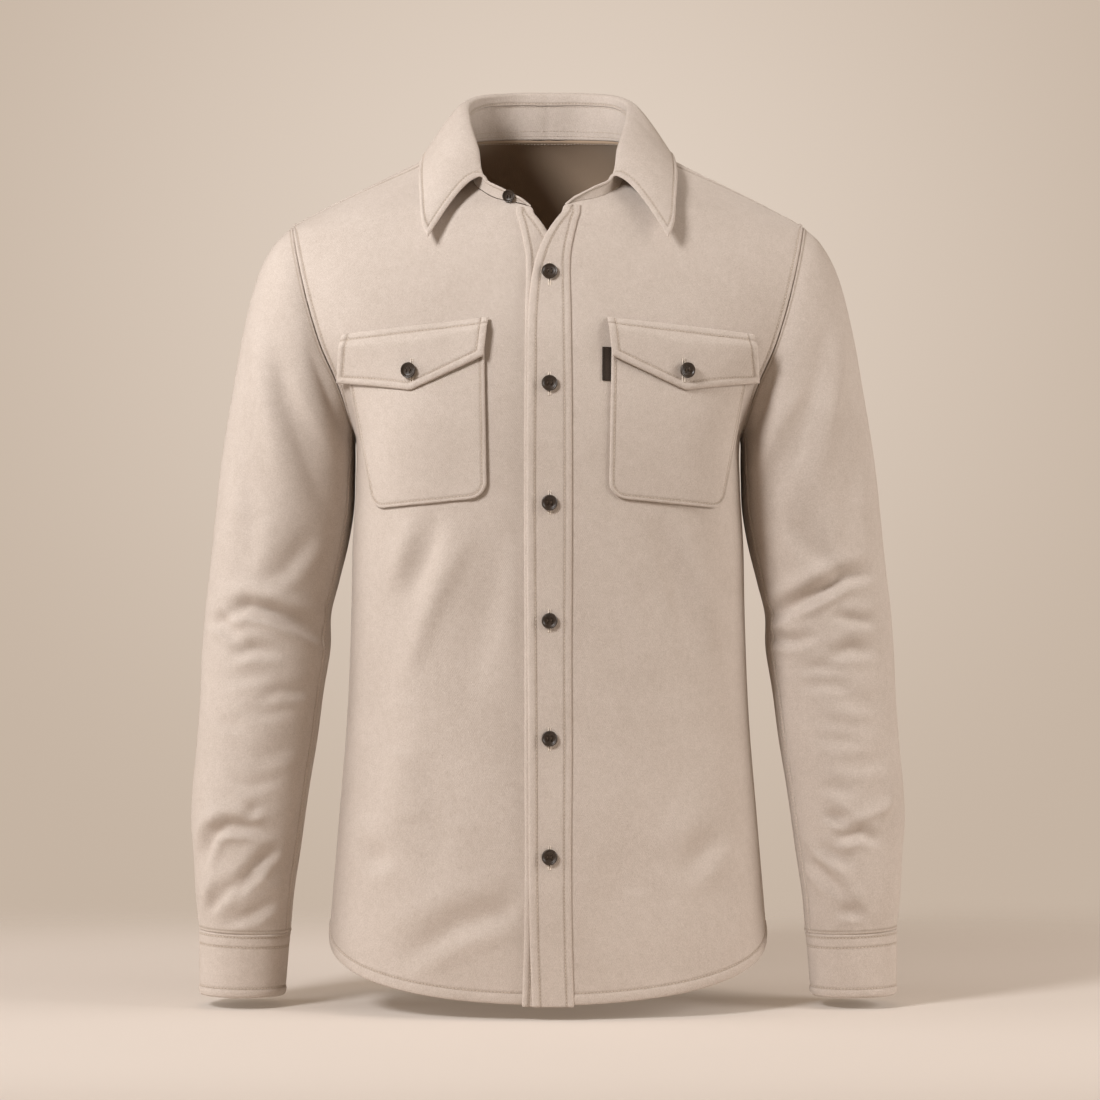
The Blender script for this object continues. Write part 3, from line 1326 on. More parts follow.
def yoke_point(x, turn):
    """Point of the yoke's form at width x: turn 0 on the ridge, 90 degrees at its seam."""
    depth, rise, power = yoke_profile(x)
    sine = math.sin(turn)
    reach = depth if turn > 0 else YOKE_FRONT_DEPTH
    y = reach * math.copysign(abs(sine) ** (2 / power), sine)
    return np.array([x, y, YOKE_SEAM_Z + rise * max(math.cos(turn), 0.0) ** (2 / power)])


YOKE_BLENDS = 26


def make_yoke():
    """Rows from the shoulder seams and neck to the back seam, columns right to left."""
    neck = spread_evenly(BACK_NECK_CURVE, cut_lines(length=0.135, at_start=False, at_end=False))
    starts = list(neck)
    for x in seam_xs[::-1]:
        starts.append(np.array([x, -float(shoulder_forward(x)), float(shoulder_z(x))]))
    starts = np.array(starts)
    least = YOKE_LEAST_COLUMN / (len(neck) - 1)
    widths = np.abs(np.diff(starts[:, 0]))
    widths[: len(neck) - 1] = np.maximum(widths[: len(neck) - 1], least)
    outward = np.concatenate([[0], np.cumsum(widths)]) / widths.sum()
    ends = section_points(YOKE_SEAM_Z, outward, 0.0, 1)
    rows = cut_lines(length=0.140)
    grid = np.empty((len(rows), len(starts), 3))
    for c, (start, end) in enumerate(zip(starts, ends)):
        first = yoke_turn(start[0], start[1])
        offset = start - yoke_point(start[0], first)
        for r, v in enumerate(rows):
            x = start[0] + (end[0] - start[0]) * v
            grid[r, c] = yoke_point(x, first + (math.pi / 2 - first) * v) + offset * (1 - v) ** 2
        grid[-1, c] = end
    angles = FRONT_ANGLE + (BACK_ANGLE - 2 * math.pi - FRONT_ANGLE) * rows
    pull = outward**YOKE_PULL
    grid = grid + pull[None, :, None] * (armhole(angles) - grid[:, -1])[:, None]
    whole = np.concatenate([(grid * (-1, 1, 1))[:, :0:-1], grid], axis=1)
    for _ in range(YOKE_BLENDS):
        between = (whole[1:-1, :-2] + whole[1:-1, 2:]) / 2
        whole[1:-1, 1:-1] = (whole[1:-1, 1:-1] + between) / 2
    return whole


yoke_panel = make_panel(make_yoke(), (0, 0.3, 1))
for edge in ("first_column", "last_column"):
    sew_edge(yoke_panel, edge, ARM_STITCH, puff=0.0006, joined=True)
sew_edge(yoke_panel, "first_row", SHOULDER_STITCH, puff=0.0007, joined=True)
sew_edge(yoke_panel, "last_row", YOKE_NEAR_STITCH, puff=0.0004, joined=True)
groove_line(yoke_panel, "last_row", YOKE_FAR_STITCH)
dress("yoke", yoke_panel, CLOTH)

# %% [markdown]
# ## Sleeves
#
# A sleeve is one piece of cloth, rolled into a tube and closed by a seam under the arm.
# So its panel starts and ends at that seam, a little forward of the inner side, and its
# first row is the armhole itself. The elbow bends forward, and the cloth there and above
# the cuff gathers into the deepest creases of the garment.

# %% Table of the sleeve
SLEEVE_COLUMNS = ("step", "outer_x", "outer_z", "inner_x", "inner_z", "half_depth", "mid_y")
SLEEVE = (
    (0, 0.2290, -0.0560, 0.1725, -0.2450, 0.0680, 0.000),
    (1, 0.2450, -0.0715, 0.1731, -0.2530, 0.0700, 0.000),
    (2, 0.2620, -0.1040, 0.1729, -0.2650, 0.0710, 0.001),
    (3, 0.2750, -0.1560, 0.1732, -0.2840, 0.0705, 0.002),
    (4, 0.2865, -0.2220, 0.1743, -0.3120, 0.0680, 0.003),
    (5, 0.2970, -0.2970, 0.1796, -0.3440, 0.0640, 0.004),
    (6, 0.3040, -0.3620, 0.1880, -0.3750, 0.0610, 0.004),
    (7, 0.3090, -0.4040, 0.1955, -0.4040, 0.0590, 0.003),
    (8, 0.3115, -0.4400, 0.1958, -0.4360, 0.0570, 0.001),
    (9, 0.3125, -0.4800, 0.2018, -0.4760, 0.0550, -0.002),
    (10, 0.3150, -0.5200, 0.2070, -0.5180, 0.0530, -0.005),
    (11, 0.3193, -0.5600, 0.2132, -0.5580, 0.0510, -0.008),
    (12, 0.3203, -0.5900, 0.2182, -0.5900, 0.0490, -0.011),
    (13, 0.3180, -0.6180, 0.2225, -0.6190, 0.0470, -0.013),
    (14, 0.3165, -0.6480, 0.2268, -0.6490, 0.0450, -0.015),
    (15, 0.3142, -0.6710, 0.2290, -0.6735, 0.0430, -0.016),
    (16, 0.3118, -0.6850, 0.2300, -0.6880, 0.0410, -0.017),
)
SLEEVE_STEPS = 16
SLEEVE_HEAD_STEPS = 3
SLEEVE_SEAM_ANGLE = math.radians(155)
SLEEVE_WAVES = 0.0010
SLEEVE_TOP_FADE = 0.02
SLEEVE_LOW_FADE = 0.006
FACING_GAIN = 1.6


# %% Sleeves
def make_sleeve(name):
    """Left-hand form of one sleeve with the creases of the side that it is for."""
    value = {n: smooth(SLEEVE, SLEEVE_COLUMNS, n, "step") for n in SLEEVE_COLUMNS[1:]}
    angles = SLEEVE_SEAM_ANGLE + 2 * math.pi * cut_lines(length=0.330, plain=0.0034, band=0.010)
    steps = SLEEVE_STEPS * cut_lines(length=0.600, plain=0.0032, band=0.008)[:, None, None]

    def ring(step):
        zero = np.zeros_like(step)
        outer = np.concatenate([value["outer_x"](step), zero, value["outer_z"](step)], -1)
        inner = np.concatenate([value["inner_x"](step), zero, value["inner_z"](step)], -1)
        middle = (outer + inner) / 2 + np.concatenate([zero, value["mid_y"](step), zero], -1)
        depth = np.concatenate([zero, -value["half_depth"](step), zero], -1)
        turned = np.cos(angles)[None, :, None] * (outer - inner) / 2
        return middle + turned + np.sin(angles)[None, :, None] * depth

    fix = armhole(np.mod(angles, 2 * math.pi)) - ring(np.zeros((1, 1, 1)))
    grid = ring(steps) + fix * (1 - ease(steps / SLEEVE_HEAD_STEPS))
    middle = grid.mean(1, keepdims=True)
    panel = make_panel(grid, grid - middle)
    grid, normals = panel["grid"], panel["normals"]
    keep = fade_at(from_edge(grid, "first_row"), SLEEVE_TOP_FADE)
    keep = keep * fade_at(from_edge(grid, "last_row"), SLEEVE_LOW_FADE)
    shift = SLEEVE_WAVES * ripple(grid[..., 0] * 2, grid[..., 2] + 0.4 * grid[..., 1])
    for side in (-1, 1):
        facing = ease(side * normals[..., 1] * FACING_GAIN)
        shift = shift + crease_shift(grid[..., 0], grid[..., 2], SLEEVE_CREASES[name, side]) * facing
    panel["grid"] = grid - normals * (shift * keep)[..., None]
    panel["normals"] = make_panel(panel["grid"], grid - middle, 0.0)["normals"]
    sew_edge(panel, "first_column", SLEEVE_FAR_STITCH, puff=0.0006, joined=True)
    sew_edge(panel, "first_row", SLEEVE_END_ROLL, puff=0.0005, joined=True, groove=0.0)
    sew_edge(panel, "last_row", SLEEVE_END_ROLL, puff=0.0003, joined=True, groove=0.0)
    return panel


dress("sleeve_left", make_sleeve("left"), CLOTH)
dress("sleeve_right", mirrored(make_sleeve("right")), CLOTH)

# %% [markdown]
# ## Cuffs
#
# A cuff is a doubled band with a stiffener inside. It winds once round the wrist from its
# opening behind, and its upper end laps over the lower one and buttons there.

# %% Cuffs
CUFF_COLUMNS = ("z", "mid_x", "half_width", "half_depth", "mid_y", "tilt")
CUFF = (
    (-0.7420, 0.2733, 0.0382, 0.0385, -0.019, 0.0006),
    (-0.6868, 0.2709, 0.0409, 0.0410, -0.017, 0.0015),
)
CUFF_LIFT_TURN = 0.45
CUFF_LIFT = CUFF_CLOTH + LAYER_GAP * 1.5
CUFF_WAVES = 0.0005
CUFF_OPENING_ANGLE = math.radians(300)
CUFF_OVERLAP_ANGLE = math.radians(24)


def cuff_ring(angle, z):
    """Point of the left cuff's form: 0 on its outer side, 90 degrees in front."""
    value = {name: smooth(CUFF, CUFF_COLUMNS, name, "z")(z) for name in CUFF_COLUMNS[1:]}
    x = value["mid_x"] + value["half_width"] * np.cos(angle)
    y = value["mid_y"] - value["half_depth"] * np.sin(angle)
    return np.stack(np.broadcast_arrays(x, y, z + value["tilt"] * np.cos(angle)), -1)


def make_cuff():
    wound = (2 * math.pi + CUFF_OVERLAP_ANGLE) * cut_lines(length=0.265, plain=0.0030)[None]
    z = CUFF[1][0] - SEAM_GAP + (CUFF[0][0] - CUFF[1][0]) * cut_lines(length=0.055, plain=0.0030)[:, None]
    lift = ease((wound - 2 * math.pi + CUFF_LIFT_TURN) / CUFF_LIFT_TURN) * CUFF_LIFT
    ring = cuff_ring(CUFF_OPENING_ANGLE + wound, z)
    middle = (cuff_ring(0, z) + cuff_ring(math.pi, z)) / 2
    outward = unit((ring - middle) * (1, 1, 0))
    ring = ring + outward * (lift + CUFF_WAVES * np.sin(3 * wound + 30 * z))[..., None]
    panel = make_panel(ring, outward)
    sew_edge(panel, "first_row", CUFF_TOP_STITCH, puff=0.0004)
    groove_line(panel, "first_row", CUFF_SECOND_STITCH)
    sew_edge(panel, "last_row", CUFF_LOW_STITCH, puff=0.0007)
    for edge in ("first_column", "last_column"):
        sew_edge(panel, edge, CUFF_END_STITCH, puff=0.0006)
    return panel


dress("cuff_left", make_cuff(), CUFF_CLOTH, ALL_EDGES, doubled=True)
dress("cuff_right", mirrored(make_cuff()), CUFF_CLOTH, ALL_EDGES, doubled=True)

# %% [markdown]
# ## Collar
#
# A shirt collar has two pieces. The stand rises from the neck seam and would button at the
# throat. The leaf is sewn to the stand's top, rolls over and falls to its points. Both are
# made from the same three curves: the neck seam, the fold and the leaf's edge.

# %% Tables of the collar
FOLD_LINE = (
    (0.00, 0.0000, 0.0780, 0.0718),
    (0.20, 0.0340, 0.0715, 0.0708),
    (0.38, 0.0630, 0.0430, 0.0645),
    (0.52, 0.0730, 0.0090, 0.0530),
    (0.64, 0.0712, -0.0220, 0.0350),
    (0.78, 0.0635, -0.0540, 0.0080),
    (0.90, 0.0552, -0.0770, -0.0215),
    (0.95, 0.0420, -0.0850, -0.0290),
    (1.00, 0.0245, -0.0915, -0.0390),
)
LEAF_FRONT = 0.895
LEAF_EDGE_COLUMNS = ("along", "x", "y", "z", "swell")
LEAF_EDGE = (
    (0.00, 0.0000, 0.0960, 0.0160, 0.0040),
    (0.20, 0.0490, 0.0860, 0.0130, 0.0040),
    (0.38, 0.0900, 0.0530, 0.0110, 0.0040),
    (0.50, 0.1110, 0.0080, 0.0100, 0.0030),
    (0.60, 0.1150, -0.0300, -0.0050, 0.0030),
    (0.74, 0.1128, -0.0760, -0.0370, 0.0030),
    (0.84, 0.1096, -0.0990, -0.0620, 0.0025),
    (LEAF_FRONT, 0.1048, -0.1065, -0.0730, 0.0020),
)
COLLAR_EDGES = ("first_column", "last_column", "last_row")
NECK_SHARE = 0.62
NECK_LIFT_DIRECTION = np.array((0.0, -1.0, 0.35))
STAND_START = 0.0006
STAND_TIP_ALONG = 0.955
STAND_TIP_DROP = 0.12
STAND_EDGE_ROLL = 0.0045
LEAF_ROLL = 0.0114
LEAF_ROLL_OUT = 0.003
LEAF_FALL = 0.34
LEAF_ROWS = cut_lines(length=0.100, plain=0.0026)
FACING_CLOTH = 0.0009
FACING_INSET = COLLAR_CLOTH + LAYER_GAP + FACING_CLOTH
FACING_TOP = 0.0005
FACING_DEPTH = 0.0092
FACING_NARROWS_FROM = 0.5
FACING_NARROWING = 0.6
FACING_SHARE = 0.13
FACING_BLEND = 0.04
thicker = ease((LEAF_ROWS - FACING_SHARE) / FACING_BLEND)
LEAF_THICKNESS = FACING_CLOTH + (COLLAR_CLOTH - FACING_CLOTH) * thicker


# %% Curves of the collar
def mirrored_curve(rows, columns, samples):
    """A curve from the right front end through the centre back to the left front end."""
    curve = [smooth(rows, columns, axis, "along")(np.abs(samples)) for axis in "xyz"]
    curve[0] = curve[0] * np.sign(samples)
    return np.stack(curve, -1)


def upper_front_shift(x, samples):
    """How far the collar's left front end moves out to sit on the upper front."""
    lift = LEFT_FRONT_OUT * front_lift(x) * (np.asarray(samples) > NECK_SHARE)
    return NECK_LIFT_DIRECTION * lift[..., None]


def neck_seam(samples):
    """The neck seam at signed shares, -1 and 1 at its front ends: behind, then in front."""
    samples = np.asarray(samples, float)
    share = np.abs(samples) / NECK_SHARE
    back_part = spread_evenly(BACK_NECK_CURVE, np.clip(share, 0, 1))
    front_share = np.clip((np.abs(samples) - NECK_SHARE) / (1 - NECK_SHARE), 0, 1)
    front_part = spread_evenly(FRONT_NECK_CURVE, front_share)
    points = np.where((share > 1)[:, None], front_part, back_part)
    points = points * np.stack([np.sign(samples), np.ones_like(samples), np.ones_like(samples)], -1)
    return points + upper_front_shift(np.abs(points[:, 0]), samples)


def fold_line(samples):
    line = mirrored_curve(FOLD_LINE, NECK_COLUMNS, samples)
    return line + upper_front_shift(np.abs(line[:, 0]), samples)


# %% Collar stand
STAND_TOP_ROW = 0.0112
STAND_LOW_ROWS = (0.0034, 0.0080)


def make_stand():
    samples = 2 * cut_lines(length=0.56, plain=0.0036) - 1
    low = neck_seam(samples) + (0, 0, STAND_START)
    tip = ease((np.abs(samples) - STAND_TIP_ALONG) / (1 - STAND_TIP_ALONG))
    rise = (fold_line(samples) - low) * (1 - STAND_TIP_DROP * tip)[:, None]
    t = cut_lines(length=0.042, plain=0.0026, band=0.008)[:, None, None]
    grid = low[None] + rise[None] * t
    panel = make_panel(grid, grid * (1, 1, 0), 0.0)
    sew_border(panel, COLLAR_EDGES, STAND_EDGE_ROLL, puff=0.0003)
    return panel


dress("collar_stand", make_stand(), COLLAR_CLOTH, COLLAR_EDGES, doubled=True)


# %% Collar leaf
def make_leaf():
    samples = LEAF_FRONT * (2 * cut_lines(length=0.62, plain=0.0038) - 1)
    fold = fold_line(samples)
    edge = mirrored_curve(LEAF_EDGE, LEAF_EDGE_COLUMNS, samples)
    swell = smooth(LEAF_EDGE, LEAF_EDGE_COLUMNS, "swell", "along")(np.abs(samples))
    rise = unit(fold - neck_seam(samples))
    outward = unit((edge - fold) * (1, 1, 0))
    shoulder = fold + rise * LEAF_ROLL + outward * LEAF_ROLL_OUT
    start = fold + rise * FACING_TOP - outward * FACING_INSET
    falling = fold + (edge - fold) * LEAF_FALL + rise * LEAF_ROLL + outward * swell[:, None]
    t = np.linspace(0, 1, CURVE_POINTS)[:, None, None]
    dense = (1 - t) ** 3 * start + 3 * t * (1 - t) ** 2 * shoulder
    dense = dense + 3 * t * t * (1 - t) * falling + t**3 * edge
    to_front = (np.abs(samples) - FACING_NARROWS_FROM) / (LEAF_FRONT - FACING_NARROWS_FROM)
    depth = FACING_DEPTH * (1 - FACING_NARROWING * ease(to_front))
    down = np.linspace(1, 0, 12, endpoint=False)[:, None, None]
    facing = start - rise * (depth[:, None] + FACING_TOP) * down
    dense = np.concatenate([facing, dense])
    grid = np.stack([spread_evenly(dense[:, c], LEAF_ROWS) for c in range(len(samples))], 1)
    panel = make_panel(grid, grid * (1, 1, 0), 0.0)
    panel["normals"] = grid_normals(grid)
    if (panel["normals"][-1] * outward).sum() < 0:
        panel["normals"] = -panel["normals"]
    sew_edge(panel, "first_row", FACING_STITCH, puff=0.0003)
    sew_border(panel, COLLAR_EDGES, LEAF_STITCH)
    return panel


dress("collar_leaf", make_leaf(), LEAF_THICKNESS[:, None], ALL_EDGES, doubled=True)

# %% [markdown]
# ## Bands
#
# A strip of doubled cloth runs down each front's free edge. The left one holds the
# buttonholes and lies on top. Both follow the front's form, so a small helper finds a
# point on the front from its place seen from the front.


# %% Points on a front
NORMAL_STEP = 0.0006


def on_front(x, z, out, lift, table):
    """Points at x and z seen from the front, moved `out` off the form, and their normals."""

    def depth(at_x, at_z):
        return front_form(at_x, at_z) + front_crease(at_x, at_z, table)

    y = depth(x, z)
    slope_x = (depth(x + NORMAL_STEP, z) - y) / NORMAL_STEP
    slope_z = (depth(x, z + NORMAL_STEP) - y) / NORMAL_STEP
    normals = unit(np.stack([slope_x, -np.ones_like(y), slope_z], -1))
    points = np.stack([x, y, z], -1) + normals * (out + lift * front_lift(x))[..., None]
    return points, normals


def laid_panel(x, z, out, lift, table):
    points, normals = on_front(x, z, out, lift, table)
    panel = make_panel(points, (0, -1, 0), 0.0)
    panel["normals"] = normals
    return panel


# %% Button band and under band
def make_band(lift, out, table):
    low = FRONT_HEM_Z - BAND_BELOW_HEM
    z = low + (BAND_TOP_Z - low) * cut_lines(length=0.705, plain=0.0038)[:, None]
    left, right = free_edge_x(z), sewn_edge_x(z)
    x = left + (right - left) * cut_lines(length=0.037, plain=0.0016, band=0.008)[None]
    x, z = np.broadcast_arrays(x, z)
    panel = laid_panel(x, z, np.full(x.shape, out), lift, table)
    sew_edge(panel, "first_column", BAND_FREE_STITCH, puff=0.0007)
    sew_edge(panel, "last_column", BAND_SEWN_STITCH, puff=0.0006)
    return panel


upper_band = make_band(LEFT_FRONT_OUT, LAYER_GAP + BAND, BODY_CREASES["left", -1])
lower_band = make_band(0.0, UNDER_BAND_OUT + BAND, BODY_CREASES["right", -1])
dress("button_placket", upper_band, BAND, ALL_EDGES, doubled=True)
dress("under_placket", mirrored(lower_band), BAND, ALL_EDGES, doubled=True)

# %% [markdown]
# ## Chest pockets and flaps
#
# A patch pocket is sewn on by its sides and its rounded bottom, so it hugs the front
# there and stands a little off it in the middle. The pointed flap is sewn on above and
# falls over the mouth. Both lie on the front's form, each with its own lift.

# %% Sizes of pocket and flap
POCKET_TOP = ((0.0554, -0.1600), (0.1780, -0.1720))
POCKET_BOTTOM = ((0.0530, -0.3010), (0.1520, -0.3105))
POCKET_CORNER = 0.0135
POCKET_SWELL = 0.0022
POCKET_SIDE_OUT = 0.0008
POCKET_OUT = 0.0005
POCKET_MOUTH_PUFF = 0.15
POCKET_STITCH = 0.0032
FLAP_TOP = ((0.0515, -0.1457), (0.1798, -0.1579))
FLAP_SIDES = ((0.0552, -0.1790), (0.1822, -0.1972))
FLAP_POINT = (0.1172, -0.2075)
FLAP_OUT = 2 * LAYER_GAP + BAND + 0.0004
FLAP_LIFTED_SHARE = 0.28
FLAP_BULGE = 0.0008
FLAP_STITCH = 0.0063
FLAP_TOP_STITCH = 0.0054
TAB_BOX = ((0.0469, -0.1715), (0.0543, -0.2001))
TAB_CLOTH = 0.0009


# %% Pocket and flap panels
def even_across(left, right, shares):
    """Points from left to right at shares of the length over the form, seen from the front."""
    t = np.linspace(0, 1, 120)
    x = left[0] + (right[0] - left[0]) * t
    z = left[1] + (right[1] - left[1]) * t
    y = front_form(x, float(left[1] + right[1]) / 2)
    return spread_evenly(np.stack([x, y, z], -1), shares)[:, [0, 2]]


def outline_distance(points, line):
    """Distance of every point from a line of points."""
    best = np.full(points.shape[:-1], FAR_OFF)
    for start, end in zip(line[:-1], line[1:]):
        run = end - start
        t = np.clip(((points - start) @ run) / (run @ run), 0, 1)
        best = np.minimum(best, np.linalg.norm(points - start - t[..., None] * run, axis=-1))
    return best


def sew_outline(panel, line, stitch, puff):
    """The relief of sew_edge, along an outline that turns corners."""
    distance = outline_distance(panel["grid"], line)
    uneven = pucker(panel["grid"][..., 0] * 0.9 + panel["grid"][..., 2])
    roll_and_groove(panel, distance, uneven, stitch, puff)


def outline_below(grid):
    """Down the first column, along the last row and up the last column."""
    return np.concatenate([grid[:, 0], grid[-1, 1:], grid[::-1, -1][1:]])


def make_pocket(table):
    top, bottom = np.array(POCKET_TOP), np.array(POCKET_BOTTOM)
    height = float(np.linalg.norm(bottom[0] - top[0]))
    corner = POCKET_CORNER / height
    flat = np.linspace(0, 1 - corner, 42)
    round_part = 1 - corner * (1 - np.sin(np.linspace(0, math.pi / 2, 14)[1:]))
    columns = cut_lines(length=0.125, plain=0.0034)
    xz, out = [], []
    for share in np.concatenate([flat, round_part]):
        left = top[0] + (bottom[0] - top[0]) * share
        right = top[1] + (bottom[1] - top[1]) * share
        depth = max(0.0, (share - (1 - corner)) * height)
        inset = POCKET_CORNER - math.sqrt(max(POCKET_CORNER**2 - depth**2, 0.0))
        inset /= float(np.linalg.norm(right - left))
        across = inset + (1 - 2 * inset) * columns
        xz.append(even_across(left, right, across))
        puff = math.sin(math.pi * (share * (1 - POCKET_MOUTH_PUFF) + POCKET_MOUTH_PUFF))
        swell = POCKET_SWELL * puff * np.sin(math.pi * across)
        out.append(POCKET_OUT + BAND + POCKET_SIDE_OUT * across + swell)
    xz, out = np.array(xz), np.array(out)
    panel = laid_panel(xz[..., 0], xz[..., 1], out, LEFT_FRONT_OUT, table)
    outline = outline_below(panel["grid"])
    sew_outline(panel, outline, POCKET_STITCH, puff=0.0006)
    return panel, outline


def make_flap(table):
    columns = cut_lines(length=0.130, plain=0.0030)
    half = (columns[columns < 0.5] * 2, columns[columns >= 0.5] * 2 - 1)
    top = even_across(FLAP_TOP[0], FLAP_TOP[1], columns)
    sides = [even_across(FLAP_SIDES[0], FLAP_POINT, half[0]), even_across(FLAP_POINT, FLAP_SIDES[1], half[1])]
    rows = cut_lines(length=0.052, plain=0.0022)[:, None]
    xz = top + (np.concatenate(sides) - top) * rows[..., None]
    lifted = (FLAP_OUT + POCKET_SWELL - LAYER_GAP) * ease(rows / FLAP_LIFTED_SHARE)
    out = LAYER_GAP + BAND + lifted + FLAP_BULGE * np.sin(math.pi * columns) * rows
    panel = laid_panel(xz[..., 0], xz[..., 1], out, LEFT_FRONT_OUT, table)
    outline = outline_below(panel["grid"])
    sew_outline(panel, outline, FLAP_STITCH, puff=0.0008)
    sew_edge(panel, "first_row", FLAP_TOP_STITCH, puff=0.0005)
    return panel, outline


# %% Stitching line inside an outline
OUTLINE_STEP = 0.0015
OUTLINE_KEEP = 0.93
FRONT_WARDS = np.array((0.0, -1.0, 0.0))
RAY_START = 0.02


def surface_tree(piece):
    """The faces of a piece, sorted so that a ray's hit is found fast."""
    mesh = piece.data
    return BVHTree.FromPolygons([v.co for v in mesh.vertices], [p.vertices for p in mesh.polygons])


def line_in_outline(piece, outline, distance_in):
    """A line inside an outline by a distance, laid on the finished piece."""
    length = np.linalg.norm(np.diff(outline, axis=0), axis=1).sum()
    path = spread_evenly(outline, np.linspace(0, 1, int(length / OUTLINE_STEP)))
    inward = unit(np.cross(unit(np.gradient(path, axis=0)), FRONT_WARDS))
    if (inward * (outline.mean(0) - path)).sum() < 0:
        inward = -inward
    path = path + inward * distance_in
    clear = outline_distance(path, outline) > distance_in * OUTLINE_KEEP
    tree = surface_tree(piece)
    points, normals = [], []
    for x, y, z in path[clear]:
        found, normal, _, _ = tree.ray_cast(Vector((x, y - RAY_START, z)), Vector((0, 1, 0)))
        if found is not None:
            points.append(found)
            normals.append(normal)
    return np.array(points), np.array(normals)


# %% Pockets, flaps and their stitches
SIDES = (("left", 1), ("right", -1))
for side, sign in SIDES:
    table = BODY_CREASES[side, -1]
    for part, maker, stitch in (("pocket", make_pocket, POCKET_STITCH), ("flap", make_flap, FLAP_STITCH)):
        panel, outline = maker(table)
        node = f"{part}_{side}"
        dress(node, panel if sign > 0 else mirrored(panel), BAND, ALL_EDGES, doubled=True)
        lines = [line_in_outline(cloths[node], outline * (sign, 1, 1), stitch)]
        if part == "flap":
            ends = (("first_column", FLAP_STITCH), ("last_column", FLAP_STITCH))
            lines.append(line_inside(panels[node], "first_row", FLAP_TOP_STITCH, trims=ends))
        sew(f"{node}_stitches", lines, thread_finish)

# %% Tab beside the pocket's mouth
(tab_x0, tab_z0), (tab_x1, tab_z1) = TAB_BOX
tab_x = tab_x0 + (tab_x1 - tab_x0) * np.linspace(0, 1, 9)[None]
tab_z = tab_z0 + (tab_z1 - tab_z0) * np.linspace(0, 1, 30)[:, None]
tab_x, tab_z = np.broadcast_arrays(tab_x, tab_z)
tab_out = np.full(tab_x.shape, LAYER_GAP + TAB_CLOTH)
tab_panel = laid_panel(tab_x, tab_z, tab_out, LEFT_FRONT_OUT, BODY_CREASES["left", -1])
for edge in ("first_column", "last_column"):
    sew_edge(tab_panel, edge, TAB_EDGE_ROLL, puff=0.00012, groove=0.0001)
pocket_tab = make_cloth("pocket_tab_tape", tab_panel, TAB_CLOTH, tape_finish, ALL_EDGES, doubled=True)

# %% [markdown]
# ## Topstitching
#
# Each row of stitches lies on its finished panel, most of them where the groove is. The
# hem, bands, collar, cuffs, armholes, yoke and sleeve seams all have at least one row.

# %% Stitches of each panel
HEM_TRIMS = (("first_column", 0.034), ("last_column", 0.002))
CUFF_TRIMS = (("first_column", 0.006), ("last_column", 0.006))
INSIDE_TRIMS = (("first_column", 0.16), ("last_column", 0.16))
LEAF_TRIMS = (("first_column", LEAF_STITCH), ("last_column", LEAF_STITCH))
LEAF_END_TRIMS = (("last_row", LEAF_STITCH),)
arm_keep = np.zeros(len(front_base), bool)
arm_keep[arm_rows] = True
front_stitching = (
    ("first_row", HEM_STITCH, {"trims": HEM_TRIMS}),
    ("last_column", ARM_STITCH, {"keep": arm_keep}),
)
band_stitching = (("first_column", BAND_FREE_STITCH, {}), ("last_column", BAND_SEWN_STITCH, {}))
sleeve_stitching = (("first_column", SLEEVE_NEAR_STITCH, {}), ("first_column", SLEEVE_FAR_STITCH, {}))
cuff_stitching = (
    ("first_row", CUFF_TOP_STITCH, {}),
    ("first_row", CUFF_SECOND_STITCH, {}),
    ("last_row", CUFF_LOW_STITCH, {"trims": CUFF_TRIMS}),
    ("last_column", CUFF_END_STITCH, {"trims": (("last_row", CUFF_LOW_STITCH),)}),
)
# For each node: the edge, the distance from it and what limits the line.
stitching = {
    "front_left": front_stitching,
    "front_right": front_stitching,
    "button_placket": band_stitching,
    "under_placket": band_stitching,
    "back": (
        ("first_row", HEM_STITCH, {}),
        ("first_column", BACK_SIDE_STITCH, {}),
        ("last_column", BACK_SIDE_STITCH, {}),
    ),
    "yoke": (
        ("first_column", ARM_STITCH, {}),
        ("last_column", ARM_STITCH, {}),
        ("first_row", SHOULDER_STITCH, {}),
        ("last_row", YOKE_NEAR_STITCH, {}),
        ("last_row", YOKE_FAR_STITCH, {}),
        ("first_row", YOKE_INSIDE_STITCH, {"inside": CLOTH, "trims": INSIDE_TRIMS}),
    ),
    "sleeve_left": sleeve_stitching,
    "sleeve_right": sleeve_stitching,
    "cuff_left": cuff_stitching,
    "cuff_right": cuff_stitching,
    "collar_leaf": (
        ("first_row", FACING_STITCH, {}),
        ("last_row", LEAF_STITCH, {"trims": LEAF_TRIMS}),
        ("first_column", LEAF_STITCH, {"trims": LEAF_END_TRIMS}),
        ("last_column", LEAF_STITCH, {"trims": LEAF_END_TRIMS}),
    ),
    "collar_stand": (
        ("first_row", STAND_LOW_ROWS[0], {"inside": COLLAR_CLOTH}),
        ("first_row", STAND_LOW_ROWS[1], {"inside": COLLAR_CLOTH}),
        ("last_row", STAND_TOP_ROW, {"inside": COLLAR_CLOTH}),
    ),
}
for node, rows in stitching.items():
    lines = [line_inside(panels[node], edge, distance, **limits) for edge, distance, limits in rows]
    sew(f"{node}_stitches", lines, thread_finish)

# %% [markdown]
# ## Buttons
#
# One button is turned as a profile spun round its axis, and four holes are cut through
# it with a boolean. Copies of that mesh then go to each place, and two bars of thread
# hold each one.

# %% One button
BUTTON_RADIUS = 0.0069
SMALL_BUTTON_RADIUS = 0.0056
BUTTON_HEIGHT = 0.0030
BUTTON_SIDES = 48
